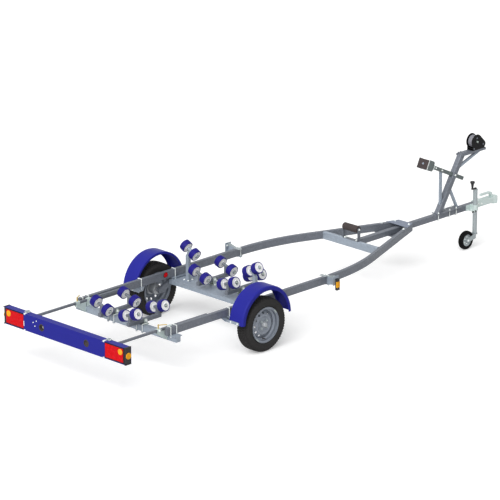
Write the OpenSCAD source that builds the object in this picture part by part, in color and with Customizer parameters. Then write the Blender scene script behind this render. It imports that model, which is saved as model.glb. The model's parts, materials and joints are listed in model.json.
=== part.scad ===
// Roller boat trailer with a single axle, parked on its jockey wheel.
// Sizes are in millimetres. +X is the trailer's right, +Y is forward and +Z is up.
// The sub-parts are drawn from the ground point under the axle, then moved so that
// the origin lies on the ground at the middle of the whole trailer.

/* [Wheels] */
// Outside diameter of a road tyre
tyre_d = 547; // [520:1:570]
// Width of a road tyre
tyre_w = 155; // [145:1:165]
// Diameter over the rim's flanges
rim_d = 365; // [350:1:380]
// Distance between the wheels' centre planes
track = 1520; // [1500:1:1600]
// Number of round vents in a rim
vent_count = 12; // [6:1:14]
// Radius of the stub axles
stub_r = 17.5; // [15:0.5:20]

/* [Frame] */
// Height of the side rails' section
rail_h = 80; // [70:1:90]
// Width of the side rails' section
rail_w = 40; // [38:1:50]
// Wall of the side rails
rail_wall = 3; // [2:0.5:3]
// Distance between the side rails' centre lines
rail_span = 1236; // [1200:1:1250]
// Height of the rails' underside above the ground
rail_z = 399; // [390:1:420]
// Rear end of the rails, behind the axle
rail_rear = 1150; // [1130:1:1200]
// Start of the rails' bend, ahead of the axle
bend_start = 1100; // [1050:1:1150]
// Radius of the rails' bend
bend_r = 2200; // [2000:10:2400]
// Angle of the rails' bend
bend_angle = 21.5; // [20:0.1:22]
// Blunt front end of the rails, ahead of the axle
nose_y = 2900; // [2800:1:2920]
// Side of the drawbar's square section
drawbar_s = 60; // [50:1:70]
// Wall of the drawbar and the winch post
drawbar_wall = 4; // [3:0.5:6]
// Front end of the drawbar, ahead of the axle
drawbar_front = 4060; // [4030:1:4100]

/* [Cross-members] */
// Rear edge of the axle tray, ahead of the axle
tray_y = 105; // [90:1:115]
// Length of the axle tray along the trailer
tray_len = 280; // [275:1:300]
// Depth of the tray's folded edges
tray_h = 45; // [35:1:60]
// Sheet thickness of the tray
tray_t = 5; // [3:0.5:6]
// Height of the seats between tray and rails
seat_h = 24; // [20:1:30]
// Side of the square torsion axle
axle_s = 50; // [40:1:56]
// Rear face of the rear cross-member, behind the axle
rear_member_y = 1100; // [1090:1:1110]
// Width of the rear cross-member along the trailer
rear_member_w = 60; // [56:1:70]
// Height of the rear cross-member
rear_member_h = 62; // [55:1:75]
// Length of the rear cross-member
rear_member_len = 1410; // [1380:1:1440]

/* [Rollers] */
// Diameter of a hull roller
roller_d = 120; // [110:1:124]
// Width of a hull roller
roller_w = 65; // [60:1:68]
// Radius of the roller shafts
shaft_r = 10; // [8:0.5:12]
// Distance of the rocker beams from the centre line
rocker_x = 200; // [195:1:220]
// Height of the rocker beams' pivots
rocker_z = 433; // [430:1:445]
// Length of a rocker beam
rocker_len = 430; // [410:1:450]
// Distance of a roller shaft from its rocker's pivot
shaft_reach = 183; // [175:1:190]
// Height of the rocker rollers' shafts
low_shaft_z = 526; // [522:1:545]
// Tilt of the rocker rollers' shafts
low_tilt = 18; // [10:1:20]
// Spacing of the two rollers on a rocker shaft
low_gap = 168; // [164:1:176]
// Distance of the tall uprights from the centre line
high_x = 437; // [425:1:450]
// Height of the tall uprights' shafts
high_shaft_z = 700; // [680:1:720]
// Tilt of the tall uprights' shafts
high_tilt = 27; // [20:1:30]
// Spacing of the two rollers on a tall upright
high_gap = 135; // [132:1:145]
// Diameter of the keel roller
keel_d = 75; // [65:1:90]
// Length of the keel roller
keel_len = 200; // [160:1:240]
// Height of the keel roller's axis
keel_z = 604; // [590:1:620]

/* [Mudguards] */
// Clearance from tyre to mudguard at wheel height
guard_gap = 68.5; // [60:0.5:75]
// Height of the mudguards' centre above the wheel's
guard_rise = 56.5; // [50:0.5:65]
// Width of a mudguard
guard_w = 185; // [178:1:195]
// Sheet thickness of a mudguard
guard_t = 3; // [2:0.5:4]

/* [Light board] */
// Width of the light board
board_w = 1714; // [1660:1:1760]
// Height of the light board
board_h = 170; // [160:1:180]
// Depth of the light board's flanges
board_d = 75; // [65:1:85]
// Rear face of the light board, behind the axle
board_y = 1912; // [1880:1:1950]
// Side of the square extension tubes
ext_s = 25; // [22:1:28]
// Distance of the extension tubes from the centre line
ext_x = 570; // [555:1:572]
// Height of the extension tubes' axes
ext_z = 458; // [450:1:470]
// Front end of the extension tubes, behind the axle
ext_front = 560; // [500:1:700]
// Reach of the tube brackets behind the rear cross-member
bracket_reach = 130; // [110:1:150]

/* [Winch post] */
// Lean of the winch post from upright
post_lean = 31.7; // [29:0.1:33]
// Place of the post's axis at the drawbar's top, ahead of the axle
post_y = 3392; // [3380:1:3400]
// Height of the winch platform's top
platform_z = 1040; // [1020:1:1060]
// Tilt of the bow stop bar
bow_tilt = 25.5; // [24:0.1:28]
// Distance of the bow stop bar along the post
bow_up = 437; // [425:1:450]
// Reach of the bow stop bar behind the post
bow_reach = 430; // [400:1:460]
// Side of the bow stop bar
bow_s = 40; // [30:1:44]
// Radius of the winch drum's flanges
drum_r = 70; // [60:1:74]

/* [Nose] */
// Radius of the coupling's ball socket
socket_r = 25.5; // [25:0.05:26]
// Ball centre ahead of the axle
ball_y = 4262; // [4240:1:4280]
// Diameter of the jockey wheel
jockey_d = 200; // [190:1:205]
// Width of the jockey wheel's tyre
jockey_w = 50; // [40:1:60]
// Radius of the jockey tube
jockey_r = 24; // [22:0.5:26]
// Distance of the jockey tube from the centre line
jockey_x = 75; // [70:1:85]
// Place of the jockey tube, ahead of the axle
jockey_y = 3890; // [3880:1:3900]
// Trail of the jockey wheel behind its tube
jockey_trail = 138; // [134:1:150]

/* [Hidden] */
$fn = 96;

// Clearances: turning fits, sliding fits and the gap between curved faces that only meet
run_fit = 0.05;
slide_fit = 0.3;
face_gap = 0.3;
// Reach of a cutting block, past every piece
far = 6000;
// Straight steps in a rounded tube corner
corner_steps = 3;

// Heights and places that follow from the sizes above
wheel_z = tyre_d / 2;
rail_x = rail_span / 2;
rail_in = rail_x - rail_w / 2;
rail_out = rail_x + rail_w / 2;
rail_mid = rail_z + rail_h / 2;
rail_top = rail_z + rail_h;
bend_x = rail_x - bend_r;
bend_end_x = bend_x + bend_r * cos(bend_angle);
bend_end_y = bend_start + bend_r * sin(bend_angle);
nose_run = (nose_y - bend_end_y) / cos(bend_angle) + rail_w;
drawbar_top = rail_z + drawbar_s;
drawbar_mid = rail_z + drawbar_s / 2;
cross_w = 40;
cross_y = bend_end_y + 174;
gusset_t = 8;
gusset_len = 280;
plate_t = 6;

// Axle: the tray hangs under the rails, the torsion beam lies under the tray
tray_top = rail_z - seat_h;
torsion_y = tray_y + 65;
torsion_z = tray_top - tray_t - axle_s / 2;
arm_t = 28;
arm_inset = 4.5;
arm_in = rail_out + arm_inset;
arm_r = 29;
torsion_r = 35;
stub_end = 45;

// Wheel: the bead seat lies inside the flange, the disc's face outside the centre plane
flange_h = 17.5;
seat_r = rim_d / 2 - flange_h;
bead_x = 57;
rim_t = 4;
well_depth = 18;
disc_face = 30;
disc_rise = 8;
hole_r = 29;
hub_r = 50;
vent_r = 11;
vent_ring = seat_r - 47;

// U-bolts: bar radius, and the seats that carry them beside a rail
bar_r = 4;
clamp_half = rail_w / 2 + face_gap + 2 * bar_r + 5;
clamp_t = 8;
strap_gap = 9;
strap_edge = 10;

// Mudguards and their stays
guard_r = wheel_z + guard_gap;
guard_z = wheel_z + guard_rise;
guard_in = track / 2 - guard_w / 2 - 7.5;
guard_arc = 176;
guard_lip = 42;
guard_inner_lip = 25;
stay_out = guard_in + 140;
stay_low = guard_z + 15;
stay_h = 28;
stay_y = guard_r + face_gap;

// Rear cross-member and the brackets that guide the light board's tubes
member_t = 4;
member_low = rail_z - rear_member_h;
member_front = rear_member_w - rear_member_y;
sleeve_wall = 5;
sleeve_len = 45;
bracket_t = 4;
bracket_tip = 18;
ext_wall = 2.5;
lever_r = 5;
lever_len = 85;
lever_turn = 32;
lever_rise = 35;

// Rockers: section, pivot pin and bracket ears
rocker_s = 40;
rocker_wall = 3;
pivot_r = 6;
ear_t = 5;
ear_gap = 1.5;
ear_w = 44;
base_flange = 28;
rocker_rear_y = member_front - 1;
rocker_axle_y = tray_y + 187.5;
high_y = tray_y + 105;
upright_s = 40;
boss_r = 17;
boss_half = 22;
collar_r = 14;
stem_s = 30;
high_stem = 70;
side_play = 1;
washer_t = 4;
nut_t = 9;
tread_t = 8;

// Roller pairs on the rockers. Columns: name, side, place of the shaft along Y
low_pairs = [
    ["rollers_rear_left_aft", -1, rocker_rear_y - shaft_reach],
    ["rollers_rear_left_fore", -1, rocker_rear_y + shaft_reach],
    ["rollers_rear_right_aft", 1, rocker_rear_y - shaft_reach],
    ["rollers_rear_right_fore", 1, rocker_rear_y + shaft_reach],
    ["rollers_axle_left_aft", -1, rocker_axle_y - shaft_reach],
    ["rollers_axle_left_fore", -1, rocker_axle_y + shaft_reach],
    ["rollers_axle_right_aft", 1, rocker_axle_y - shaft_reach],
    ["rollers_axle_right_fore", 1, rocker_axle_y + shaft_reach]
];
// Roller pairs on the tall uprights. Columns: name, side
high_pairs = [["rollers_high_left", -1], ["rollers_high_right", 1]];
// Columns: name, side, place of the pivot along Y
rockers = [
    ["rocker_rear_left", -1, rocker_rear_y],
    ["rocker_rear_right", 1, rocker_rear_y],
    ["rocker_axle_left", -1, rocker_axle_y],
    ["rocker_axle_right", 1, rocker_axle_y]
];

// Keel roller fork
keel_shaft_r = 8;
keel_play = 2;
keel_plate_t = 5;

// Light board: sheet, bays for the lamps and the lamps themselves
board_t = 3;
board_mid = rail_mid + 1;
lamp_w = 297;
lamp_in = board_w / 2 - lamp_w;
lamp_face = 9;
lens_in = lamp_in + 15;
bay_x = lamp_in - 15;
board_open_x = min(bay_x, ext_x) - 40;
lens_out = board_w / 2 - 37;
lens_h = 136;
indicator_r = 30;
indicator_in = 36;
indicator_proud = 2;
side_lens_r = 32;
side_lens_t = 6;
board_hole_r = 32;
board_hole_x = 315;

// Side markers, just behind the rails' bend
marker_y = bend_start - 45;
marker_t = 4;
marker_clamp = 40;
marker_reach = 120;
marker_x = rail_out + marker_reach;
marker_flange = [-40, 40];
marker_flange_z = [rail_mid - 24, rail_mid + 71];
marker_web_z = [rail_mid - 22, rail_mid + 36];
marker_lamp_y = marker_y + 13;
marker_lamp_z = rail_mid - 17;
marker_w = 40;
marker_h = 118;
marker_d = 12;
marker_proud = 16;
marker_lens_h = 60;

// Winch post: base plate, platform and the winch that stands on it
post_s = 60;
base_t = 8;
base_half = 50;
base_rear = post_y - 42;
base_front = post_y + 318;
base_top = drawbar_top + base_t;
platform_half = 40;
platform_t = 4;
platform_lip = 25;
platform_under = platform_z - platform_t;
platform_rear = post_y + (platform_z - drawbar_top) * tan(post_lean) - 42;
platform_len = 376;
strut_half = 12;
strut_w = 25;
rear_strut_y = post_y + 33;
rear_strut_low = base_top + 40;
fore_strut_z = platform_z - 160;
front_strut_z = base_top + 250;
bow_front = 154;
bow_plate_t = 8;
bow_plate_half = 48;
block_w = 140;
block_h = 100;
block_d = 80;
winch_y = platform_rear + 231;
winch_z = platform_z + 90;
cheek_r = drum_r + 8;
cheek_t = 4;
cheek_in = 36;
drum_play = 5;
drum_flange_t = 3;
drum_shaft_r = 8;
drum_shaft_out = 14;
drum_core_r = 50;
winch_nose = [winch_y + 100, winch_z - 44];
winch_nose_r = 38;
winch_foot = 62;
winch_foot_h = 50;
winch_rod_r = 6;
winch_rod_z = platform_z + 20;

// Coupling on the drawbar's end
coupling_wall = 6;
coupling_back = 110;
head_r = 46;
head_low = rail_z - 14;
head_high = rail_z + 60;
socket_deep = 55;
handle_half = 16;

// Jockey wheel, from the ground up
jockey_axle_z = jockey_d / 2;
jockey_wheel_y = jockey_y - jockey_trail;
jockey_low = jockey_axle_z + 50;
jockey_top = drawbar_top + 166;
jockey_wall = 3;
clamp_ring_t = 8;
clamp_h = drawbar_s;
clamp_plate = [-95, 55];
screw_y = jockey_y - 80;
screw_z = rail_z + 14;
screw_x = jockey_x + 60;
screw_r = 6;
grip_r = 7;
grip_half = 27;
fork_head_t = 12;
fork_head_r = 30;
fork_play = 5;
fork_t = 5;
yoke_t = 12;
yoke_gap = 9;
jockey_axle_r = 6;
jockey_rim_r = 62;
crank_y = jockey_y - 47;

// Whole length, and the axle's place in it
front_reach = ball_y + head_r;
rear_reach = board_y + indicator_proud;
axle_y = (rear_reach - front_reach) / 2;

// Points of a rounded rectangle around the origin
function corner(x, y, r, start) =
    [for (i = [0:corner_steps]) let (a = start + 90 * i / corner_steps) [x + r * cos(a), y + r * sin(a)]];
function rounded(w, h, r) = concat(
    corner(w / 2 - r, h / 2 - r, r, 0), corner(r - w / 2, h / 2 - r, r, 90),
    corner(r - w / 2, r - h / 2, r, 180), corner(w / 2 - r, r - h / 2, r, 270));
// The same points on the other side of a wheel's centre plane, in reverse order
function other_half(points) = [for (i = [len(points) - 1:-1:0]) [points[i][0], -points[i][1]]];
// Centre line of a rail's straight nose, as a distance from the middle
function rail_line(y) = bend_end_x - (y - bend_end_y) * tan(bend_angle);
// A point on the winch post's axis at a height, as a place along Y
function post_at(z) = post_y + (z - drawbar_top) * tan(post_lean);

// Every sub-part is drawn from the axle and moved by this
module from_axle() { translate([0, axle_y, 0]) children(); }
module on_side(side) { if (side > 0) children(); else mirror([1, 0, 0]) children(); }
module both_sides() { children(); mirror([1, 0, 0]) children(); }
// A flat shape drawn as (Y, Z) and drawn out along X
module along_x(x0, x1) { translate([x0, 0, 0]) rotate([90, 0, 90]) linear_extrude(x1 - x0) children(); }
// A flat shape drawn as (X, Z) and drawn out along Y
module along_y(y0, y1) { translate([0, y1, 0]) rotate([90, 0, 0]) linear_extrude(y1 - y0) children(); }
// A profile drawn as (radius, X) and turned about the X axis
module about_x() { rotate([0, 90, 0]) rotate_extrude() children(); }
module block(x, y, z) { translate([x[0], y[0], z[0]]) cube([x[1] - x[0], y[1] - y[0], z[1] - z[0]]); }
module rod_x(x0, x1, r) { translate([x0, 0, 0]) rotate([0, 90, 0]) cylinder(h = x1 - x0, r = r); }
module rod_y(y0, y1, r) { translate([0, y0, 0]) rotate([-90, 0, 0]) cylinder(h = y1 - y0, r = r); }
module tube_section(w, h, wall) {
    difference() {
        polygon(rounded(w, h, 2 * wall));
        square([w - 2 * wall, h - 2 * wall], center = true);
    }
}
// A U-shaped round bar that stands over a tube of width w and height h
module u_bar(w, h) {
    half = w / 2 + face_gap + bar_r;
    top = h + face_gap + bar_r;
    for (x = [-half, half]) translate([x, 0, 0]) cylinder(h = top, r = bar_r);
    for (x = [-half, half]) translate([x, 0, top]) sphere(r = bar_r);
    translate([0, 0, top]) rod_x(-half, half, bar_r);
}

// Frame

module rail_sweep() {
    translate([rail_x, 0, rail_mid]) along_y(-rail_rear, bend_start) children();
    translate([bend_x, bend_start, rail_mid])
        rotate_extrude(angle = bend_angle) translate([bend_r, 0]) children();
    translate([bend_x, bend_start, rail_mid])
        rotate([0, 0, bend_angle]) translate([bend_r, 0, 0]) along_y(0, nose_run) children();
}

module rail(side) {
    color("slategray") on_side(side) difference() {
        rail_sweep() tube_section(rail_w, rail_h, rail_wall);
        block([-far, far], [nose_y, far], [0, far]);
    }
}

module drawbar() {
    plate_rear = nose_y - gusset_len;
    plate_front = nose_y - 20;
    color("slategray") union() {
        along_y(cross_y + cross_w / 2, drawbar_front)
            translate([0, drawbar_mid]) tube_section(drawbar_s, drawbar_s, drawbar_wall);
        translate([0, 0, rail_z - gusset_t]) linear_extrude(gusset_t) polygon([
            [-rail_line(plate_rear), plate_rear], [rail_line(plate_rear), plate_rear],
            [rail_line(plate_front), plate_front], [-rail_line(plate_front), plate_front]]);
    }
}

module front_crossmember() {
    color("lightsteelblue") difference() {
        along_x(-rail_x, rail_x) translate([cross_y, rail_mid]) tube_section(cross_w, rail_h, rail_wall);
        both_sides() translate([bend_x, bend_start, 0]) rotate([0, 0, bend_angle])
            block([bend_r - rail_w / 2, far], [0, far], [0, far]);
    }
}

module axle_crossmember() {
    seat_rear = tray_y + 15;
    seat_front = tray_y + tray_len - 15;
    color("lightsteelblue") union() {
        along_x(-rail_out, rail_out) translate([tray_y, tray_top - tray_h]) difference() {
            square([tray_len, tray_h]);
            translate([tray_t, -1]) square([tray_len - 2 * tray_t, tray_h - tray_t + 1]);
        }
        both_sides() block([rail_in, rail_out], [seat_rear, seat_front], [tray_top, rail_z]);
        both_sides() block([rail_x - clamp_half, rail_x + clamp_half],
            [seat_rear, seat_front], [rail_z - clamp_t, rail_z]);
    }
}

// A channel under the rails, with a wider clamp plate for the U-bolts at each rail
module rear_crossmember() {
    edge = strap_gap + strap_edge;
    color("lightsteelblue") union() {
        along_x(-rear_member_len / 2, rear_member_len / 2)
            translate([-rear_member_y, member_low]) difference() {
                square([rear_member_w, rear_member_h]);
                translate([member_t, member_t])
                    square([rear_member_w, rear_member_h - 2 * member_t]);
            }
        both_sides() block([rail_x - clamp_half, rear_member_len / 2],
            [-rear_member_y - edge, member_front + edge], [rail_z - clamp_t, rail_z]);
    }
}

module axle_beam() {
    color("gray") along_x(-arm_in, arm_in)
        translate([torsion_y, torsion_z]) tube_section(axle_s, axle_s, drawbar_wall);
}

module trailing_arms() {
    color("gray") both_sides() union() {
        along_x(arm_in, arm_in + arm_t)
            round_link([[torsion_y, torsion_z], torsion_r], [[0, wheel_z], arm_r]);
        translate([0, 0, wheel_z]) rod_x(arm_in, track / 2 + stub_end, stub_r);
    }
}

// U-bolts: over the rails at each clamped seat, and under the drawbar at the post's foot
module u_bolts() {
    over_rail = [
        -rear_member_y - strap_gap, member_front + strap_gap,
        -stay_y + 25, tray_y + 45, tray_y + tray_len - 40, marker_y + marker_clamp / 2];
    under_drawbar = [base_rear + 16, base_rear + 188, base_front - 70];
    color("gainsboro") union() {
        both_sides() for (y = over_rail) translate([rail_x, y, rail_z]) u_bar(rail_w, rail_h);
        for (y = under_drawbar) translate([0, y, drawbar_top]) mirror([0, 0, 1])
            u_bar(drawbar_s, drawbar_s);
    }
}

// Running gear: each profile is drawn as (radius, distance outboard of the wheel's centre plane)

module wheel_place(side) { on_side(side) translate([track / 2, 0, wheel_z]) children(); }

module tyre(side) {
    crown = tyre_d / 2;
    half = tyre_w / 2;
    flange = rim_d / 2;
    outside = [
        [crown, half - 50], [crown - 2, half - 26], [crown - 7, half - 14], [crown - 18, half - 5],
        [crown - 34, half - 0.5], [crown - 44, half], [flange + 22, half - 5], [flange + 8, half - 12],
        [flange + 2, bead_x + 3], [flange - 3, bead_x - 1], [seat_r + face_gap, bead_x - 1]];
    inside = [
        [seat_r + face_gap, bead_x - 16], [seat_r + 12, bead_x - 13], [flange + 12, half - 22],
        [crown - 42, half - 9], [crown - 20, half - 16], [crown - 12, half - 34]];
    color("dimgray") wheel_place(side) about_x()
        polygon(concat(outside, inside, other_half(inside), other_half(outside)));
}

module rim(side) {
    flange = rim_d / 2;
    well = seat_r - well_depth;
    outside = [
        [well, 18], [seat_r - 2, 30], [seat_r, 38], [seat_r, bead_x], [flange - 3, bead_x + 1],
        [flange, bead_x + 5], [flange - 2, bead_x + 11]];
    inside = [
        [flange - 6, bead_x + 10], [flange - 6, bead_x + 5], [seat_r - rim_t, bead_x + rim_t],
        [seat_r - rim_t - 1, 32], [well - rim_t, 20]];
    disc = [
        [hole_r, disc_face], [72, disc_face], [84, disc_face + disc_rise], [97, disc_face + disc_rise],
        [well - 2, 8], [well - 2, 14], [98, disc_face + disc_rise + rim_t],
        [83, disc_face + disc_rise + rim_t], [71, disc_face + rim_t], [hole_r, disc_face + rim_t]];
    color("silver") wheel_place(side) difference() {
        about_x() union() {
            polygon(concat(outside, inside, other_half(inside), other_half(outside)));
            polygon(disc);
        }
        for (i = [0:vent_count - 1]) rotate([360 * i / vent_count, 0, 0])
            translate([0, 0, vent_ring]) rod_x(0, disc_face + 40, vent_r);
    }
}

module hub(side) {
    bore = stub_r + run_fit;
    spigot = hole_r - face_gap;
    color("gray") wheel_place(side) about_x() polygon([
        [bore, -62], [hub_r - 4, -62], [hub_r, -58], [hub_r, 14], [hub_r + 16, 16],
        [hub_r + 16, disc_face], [spigot, disc_face], [spigot, disc_face + 14],
        [spigot - 2, disc_face + 16], [spigot - 3, disc_face + 28], [spigot - 9, disc_face + 36],
        [0, disc_face + 38],
        [0, stub_end + 5], [bore, stub_end + 5]]);
}

// Mudguards: a band with a rounded outer edge and turned-down lips, swept over the wheel

module mudguard(side) {
    outer = guard_w;
    r = guard_r;
    t = guard_t;
    band = [
        [r - guard_inner_lip, 0], [r - 7, 0], [r - 2, 2], [r, 7], [r, outer - 18], [r - 4, outer - 7],
        [r - 11, outer - 1], [r - 20, outer], [r - guard_lip, outer], [r - guard_lip, outer - t],
        [r - 20, outer - t], [r - 12, outer - t - 1], [r - 6, outer - t - 6], [r - t, outer - 18],
        [r - t, 8], [r - t - 2, 4], [r - 8, t], [r - guard_inner_lip, t]];
    color("darkslateblue") on_side(side) translate([guard_in, 0, guard_z])
        rotate([0, 90, 0]) rotate([0, 0, 180 - guard_arc / 2])
        rotate_extrude(angle = guard_arc) polygon(band);
}

module mudguard_stays() {
    gusset_x = rail_x - plate_t / 2;
    bolt_y = -stay_y + 25;
    color("silver") both_sides() union() {
        block([rail_in, stay_out], [-stay_y - plate_t, -stay_y], [stay_low, stay_low + stay_h]);
        along_x(gusset_x, gusset_x + plate_t) polygon([
            [-stay_y - 75, rail_z], [-stay_y + 95, rail_z], [-stay_y + 70, stay_low],
            [-stay_y - plate_t, stay_low]]);
        block([rail_x - clamp_half, rail_x + clamp_half], [bolt_y - 20, bolt_y + 20],
            [rail_z - clamp_t, rail_z]);
        block([rail_in, stay_out], [stay_y, stay_y + plate_t], [stay_low, tray_top - tray_t]);
    }
}

// Hull rollers: a tilted shaft on a stem, and the pair of rollers that turns on it

module tilted(tilt) { rotate([0, 90 - tilt, 0]) children(); }

// The shaft with its boss, collars and washers
module roller_shaft(tilt, gap) {
    inner = gap / 2 - roller_w / 2 - side_play;
    outer = gap / 2 + roller_w / 2 + side_play;
    tilted(tilt) {
        translate([0, 0, -boss_half]) cylinder(h = 2 * boss_half, r = boss_r);
        translate([0, 0, -inner]) cylinder(h = 2 * inner, r = collar_r);
        translate([0, 0, -outer - washer_t - nut_t])
            cylinder(h = 2 * (outer + washer_t + nut_t), r = shaft_r);
        for (s = [-1, 1]) translate([0, 0, s * (outer + washer_t / 2)])
            cylinder(h = washer_t, r = shaft_r + 9, center = true);
    }
}

module rollers(tilt, gap) {
    half = roller_w / 2;
    r = roller_d / 2;
    core = r - tread_t;
    bore = shaft_r + run_fit;
    tilted(tilt) for (s = [-1, 1]) translate([0, 0, s * gap / 2]) {
        color("midnightblue") rotate_extrude() polygon([
            [core + face_gap, 2 - half], [r - 3, 2 - half], [r - 0.8, 4 - half], [r, 8 - half],
            [r, half - 8], [r - 0.8, half - 4], [r - 3, half - 2], [core + face_gap, half - 2]]);
        color("white") rotate_extrude() polygon([
            [bore, -half], [bore + 12, -half], [bore + 15, 4 - half], [core - 12, 7 - half],
            [core - 7, 3 - half], [core, 3 - half], [core, half - 3], [core - 7, half - 3],
            [core - 12, half - 7], [bore + 15, half - 4], [bore + 12, half], [bore, half]]);
    }
}

module rocker(side, y) {
    drop = low_shaft_z - rocker_z - rocker_s / 2;
    color("slategray") on_side(side) translate([rocker_x, y, rocker_z]) union() {
        difference() {
            along_y(-rocker_len / 2, rocker_len / 2) tube_section(rocker_s, rocker_s, rocker_wall);
            rod_x(-rocker_s, rocker_s, pivot_r + run_fit);
        }
        for (d = [-shaft_reach, shaft_reach]) translate([0, d, low_shaft_z - rocker_z]) {
            translate([-stem_s / 2, -stem_s / 2, -drop]) cube([stem_s, stem_s, drop]);
            roller_shaft(low_tilt, low_gap);
        }
    }
}

// Clevis brackets on the two cross-members, each with its pivot pin
module rocker_brackets() {
    inner = rocker_s / 2 + ear_gap;
    // Columns: place along Y, height of the cross-member's top
    seats = [[rocker_rear_y, rail_z], [rocker_axle_y, tray_top]];
    color("darkseagreen") both_sides() for (seat = seats) translate([rocker_x, seat[0], 0]) union() {
        block([-inner - base_flange, inner + base_flange], [-ear_w / 2, ear_w / 2],
            [seat[1], seat[1] + plate_t]);
        for (x = [-inner - ear_t, inner]) along_x(x, x + ear_t) union() {
            translate([-ear_w / 2, seat[1]]) square([ear_w, rocker_z - seat[1]]);
            translate([0, rocker_z]) circle(ear_w / 2);
        }
        translate([0, 0, rocker_z]) rod_x(-inner - ear_t - 4, inner + ear_t + 4, pivot_r);
    }
}

// The stem stands square to the tilted shaft, so its tube stands outboard of the shaft's middle
module roller_uprights() {
    tube_x = high_stem * sin(high_tilt);
    tube_top = high_shaft_z - high_stem * cos(high_tilt);
    color("slategray") both_sides() translate([high_x, high_y, 0]) union() {
        translate([tube_x, 0, tray_top]) linear_extrude(plate_t) square(2 * upright_s, center = true);
        translate([tube_x, 0, tray_top + plate_t]) linear_extrude(tube_top - tray_top - plate_t)
            tube_section(upright_s, upright_s, rocker_wall);
        translate([tube_x, 0, tube_top - plate_t]) linear_extrude(plate_t)
            square(upright_s - rocker_wall, center = true);
        translate([0, 0, high_shaft_z]) roller_shaft(high_tilt, high_gap);
        difference() {
            translate([0, 0, high_shaft_z]) tilted(high_tilt)
                translate([0, -stem_s / 2, -stem_s / 2]) cube([2 * high_stem, stem_s, stem_s]);
            block([-far, far], [-far, far], [0, tube_top]);
        }
    }
}

module low_rollers(side, y) {
    on_side(side) translate([rocker_x, y, low_shaft_z]) rollers(low_tilt, low_gap);
}

module high_rollers(side) {
    on_side(side) translate([high_x, high_y, high_shaft_z]) rollers(high_tilt, high_gap);
}

module keel_bracket() {
    inner = keel_len / 2 + keel_play;
    color("slategray") translate([0, cross_y, 0]) union() {
        block([-inner - keel_plate_t, inner + keel_plate_t], [-cross_w / 2, cross_w / 2],
            [rail_top, rail_top + plate_t]);
        both_sides() along_x(inner, inner + keel_plate_t) union() {
            translate([-cross_w / 2, rail_top]) square([cross_w, keel_z - rail_top]);
            translate([0, keel_z]) circle(cross_w / 2);
        }
        translate([0, 0, keel_z]) rod_x(-inner - keel_plate_t - 8, inner + keel_plate_t + 8, keel_shaft_r);
    }
}

module keel_roller() {
    r = keel_d / 2;
    half = keel_len / 2;
    bore = keel_shaft_r + run_fit;
    color("darkslategray") translate([0, cross_y, keel_z]) about_x() polygon([
        [bore, -half], [r - 4, -half], [r, 6 - half], [r, half - 6], [r - 4, half], [bore, half]]);
}

// Light board on its two tubes

// A tapered bracket behind the rear cross-member, with a sleeve at its end and one over the member
module tube_guides() {
    hole = ext_s + 2 * slide_fit;
    s = hole + 2 * sleeve_wall;
    rear = -rear_member_y - bracket_reach;
    floor_z = ext_z - hole / 2;
    color("darkseagreen") both_sides() translate([ext_x, 0, 0]) union() {
        for (y = [rear, member_front - sleeve_len]) along_y(y, y + sleeve_len) translate([0, ext_z])
            difference() {
                polygon(rounded(s, s, sleeve_wall));
                square(hole, center = true);
            }
        block([-ext_s / 2, ext_s / 2], [rear, member_front], [floor_z - sleeve_wall, floor_z]);
        block([-ext_s / 2, ext_s / 2], [member_front - sleeve_len, member_front], [rail_z, floor_z]);
        for (x = [-ext_s / 2, ext_s / 2 - bracket_t]) along_x(x, x + bracket_t) polygon([
            [-rear_member_y, member_low], [-rear_member_y, floor_z], [rear, floor_z],
            [rear, floor_z - bracket_tip]]);
    }
}

// A stud on each end sleeve, with a bar through its head
module lock_levers() {
    stud_r = lever_r + 2;
    top = ext_z + ext_s / 2 + slide_fit + sleeve_wall;
    middle = -rear_member_y - bracket_reach + sleeve_len / 2;
    color("goldenrod") both_sides() translate([ext_x, middle, top]) union() {
        cylinder(h = lever_rise + stud_r, r = stud_r);
        translate([0, 0, lever_rise]) rotate([0, 0, -lever_turn]) rod_y(0, lever_len, lever_r);
    }
}

module extension_tubes() {
    color("darkgray") both_sides() along_y(-board_y + board_d, -ext_front)
        translate([ext_x, ext_z]) tube_section(ext_s, ext_s, ext_wall);
}

module light_board() {
    low = board_mid - board_h / 2;
    color("darkslateblue") difference() {
        union() {
            along_x(-board_w / 2, board_w / 2) translate([-board_y, low]) difference() {
                square([board_d, board_h]);
                translate([-1, board_t]) square([board_d - board_t + 1, board_h - 2 * board_t]);
            }
            block([-bay_x, bay_x], [-board_y, -board_y + board_t], [low, low + board_h]);
        }
        block([-board_open_x, board_open_x], [-board_y + board_t, far],
            [low + board_t, low + board_h - board_t]);
        both_sides() translate([board_hole_x, 0, board_mid]) rod_y(-far, -board_y + far / 10, board_hole_r);
    }
}

module lamp_housings() {
    low = board_mid - board_h / 2 + board_t + face_gap;
    high = board_mid + board_h / 2 - board_t - face_gap;
    color("darkslategray") both_sides()
        block([lamp_in, board_w / 2], [lamp_face - board_y, board_d - board_t - board_y], [low, high]);
}

// Centre of the round amber lamp in the outer upper corner of a red lens
module indicator_place() {
    translate([lens_out - indicator_in, lamp_face - board_y, board_mid + lens_h / 2 - indicator_in])
        children();
}

module red_lenses() {
    color("red") both_sides() difference() {
        block([lens_in, lens_out], [-board_y, lamp_face - board_y],
            [board_mid - lens_h / 2, board_mid + lens_h / 2]);
        indicator_place() rod_y(-far / 10, far / 10, indicator_r + face_gap);
    }
}

module amber_lenses() {
    color("orange") both_sides() {
        indicator_place() rod_y(-lamp_face - indicator_proud, 0, indicator_r);
        translate([board_w / 2, board_d / 2 - board_y, board_mid]) rod_x(0, side_lens_t, side_lens_r);
    }
}

// Side markers: each lamp looks outward from the end flange of a bracket clamped to the rail

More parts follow.
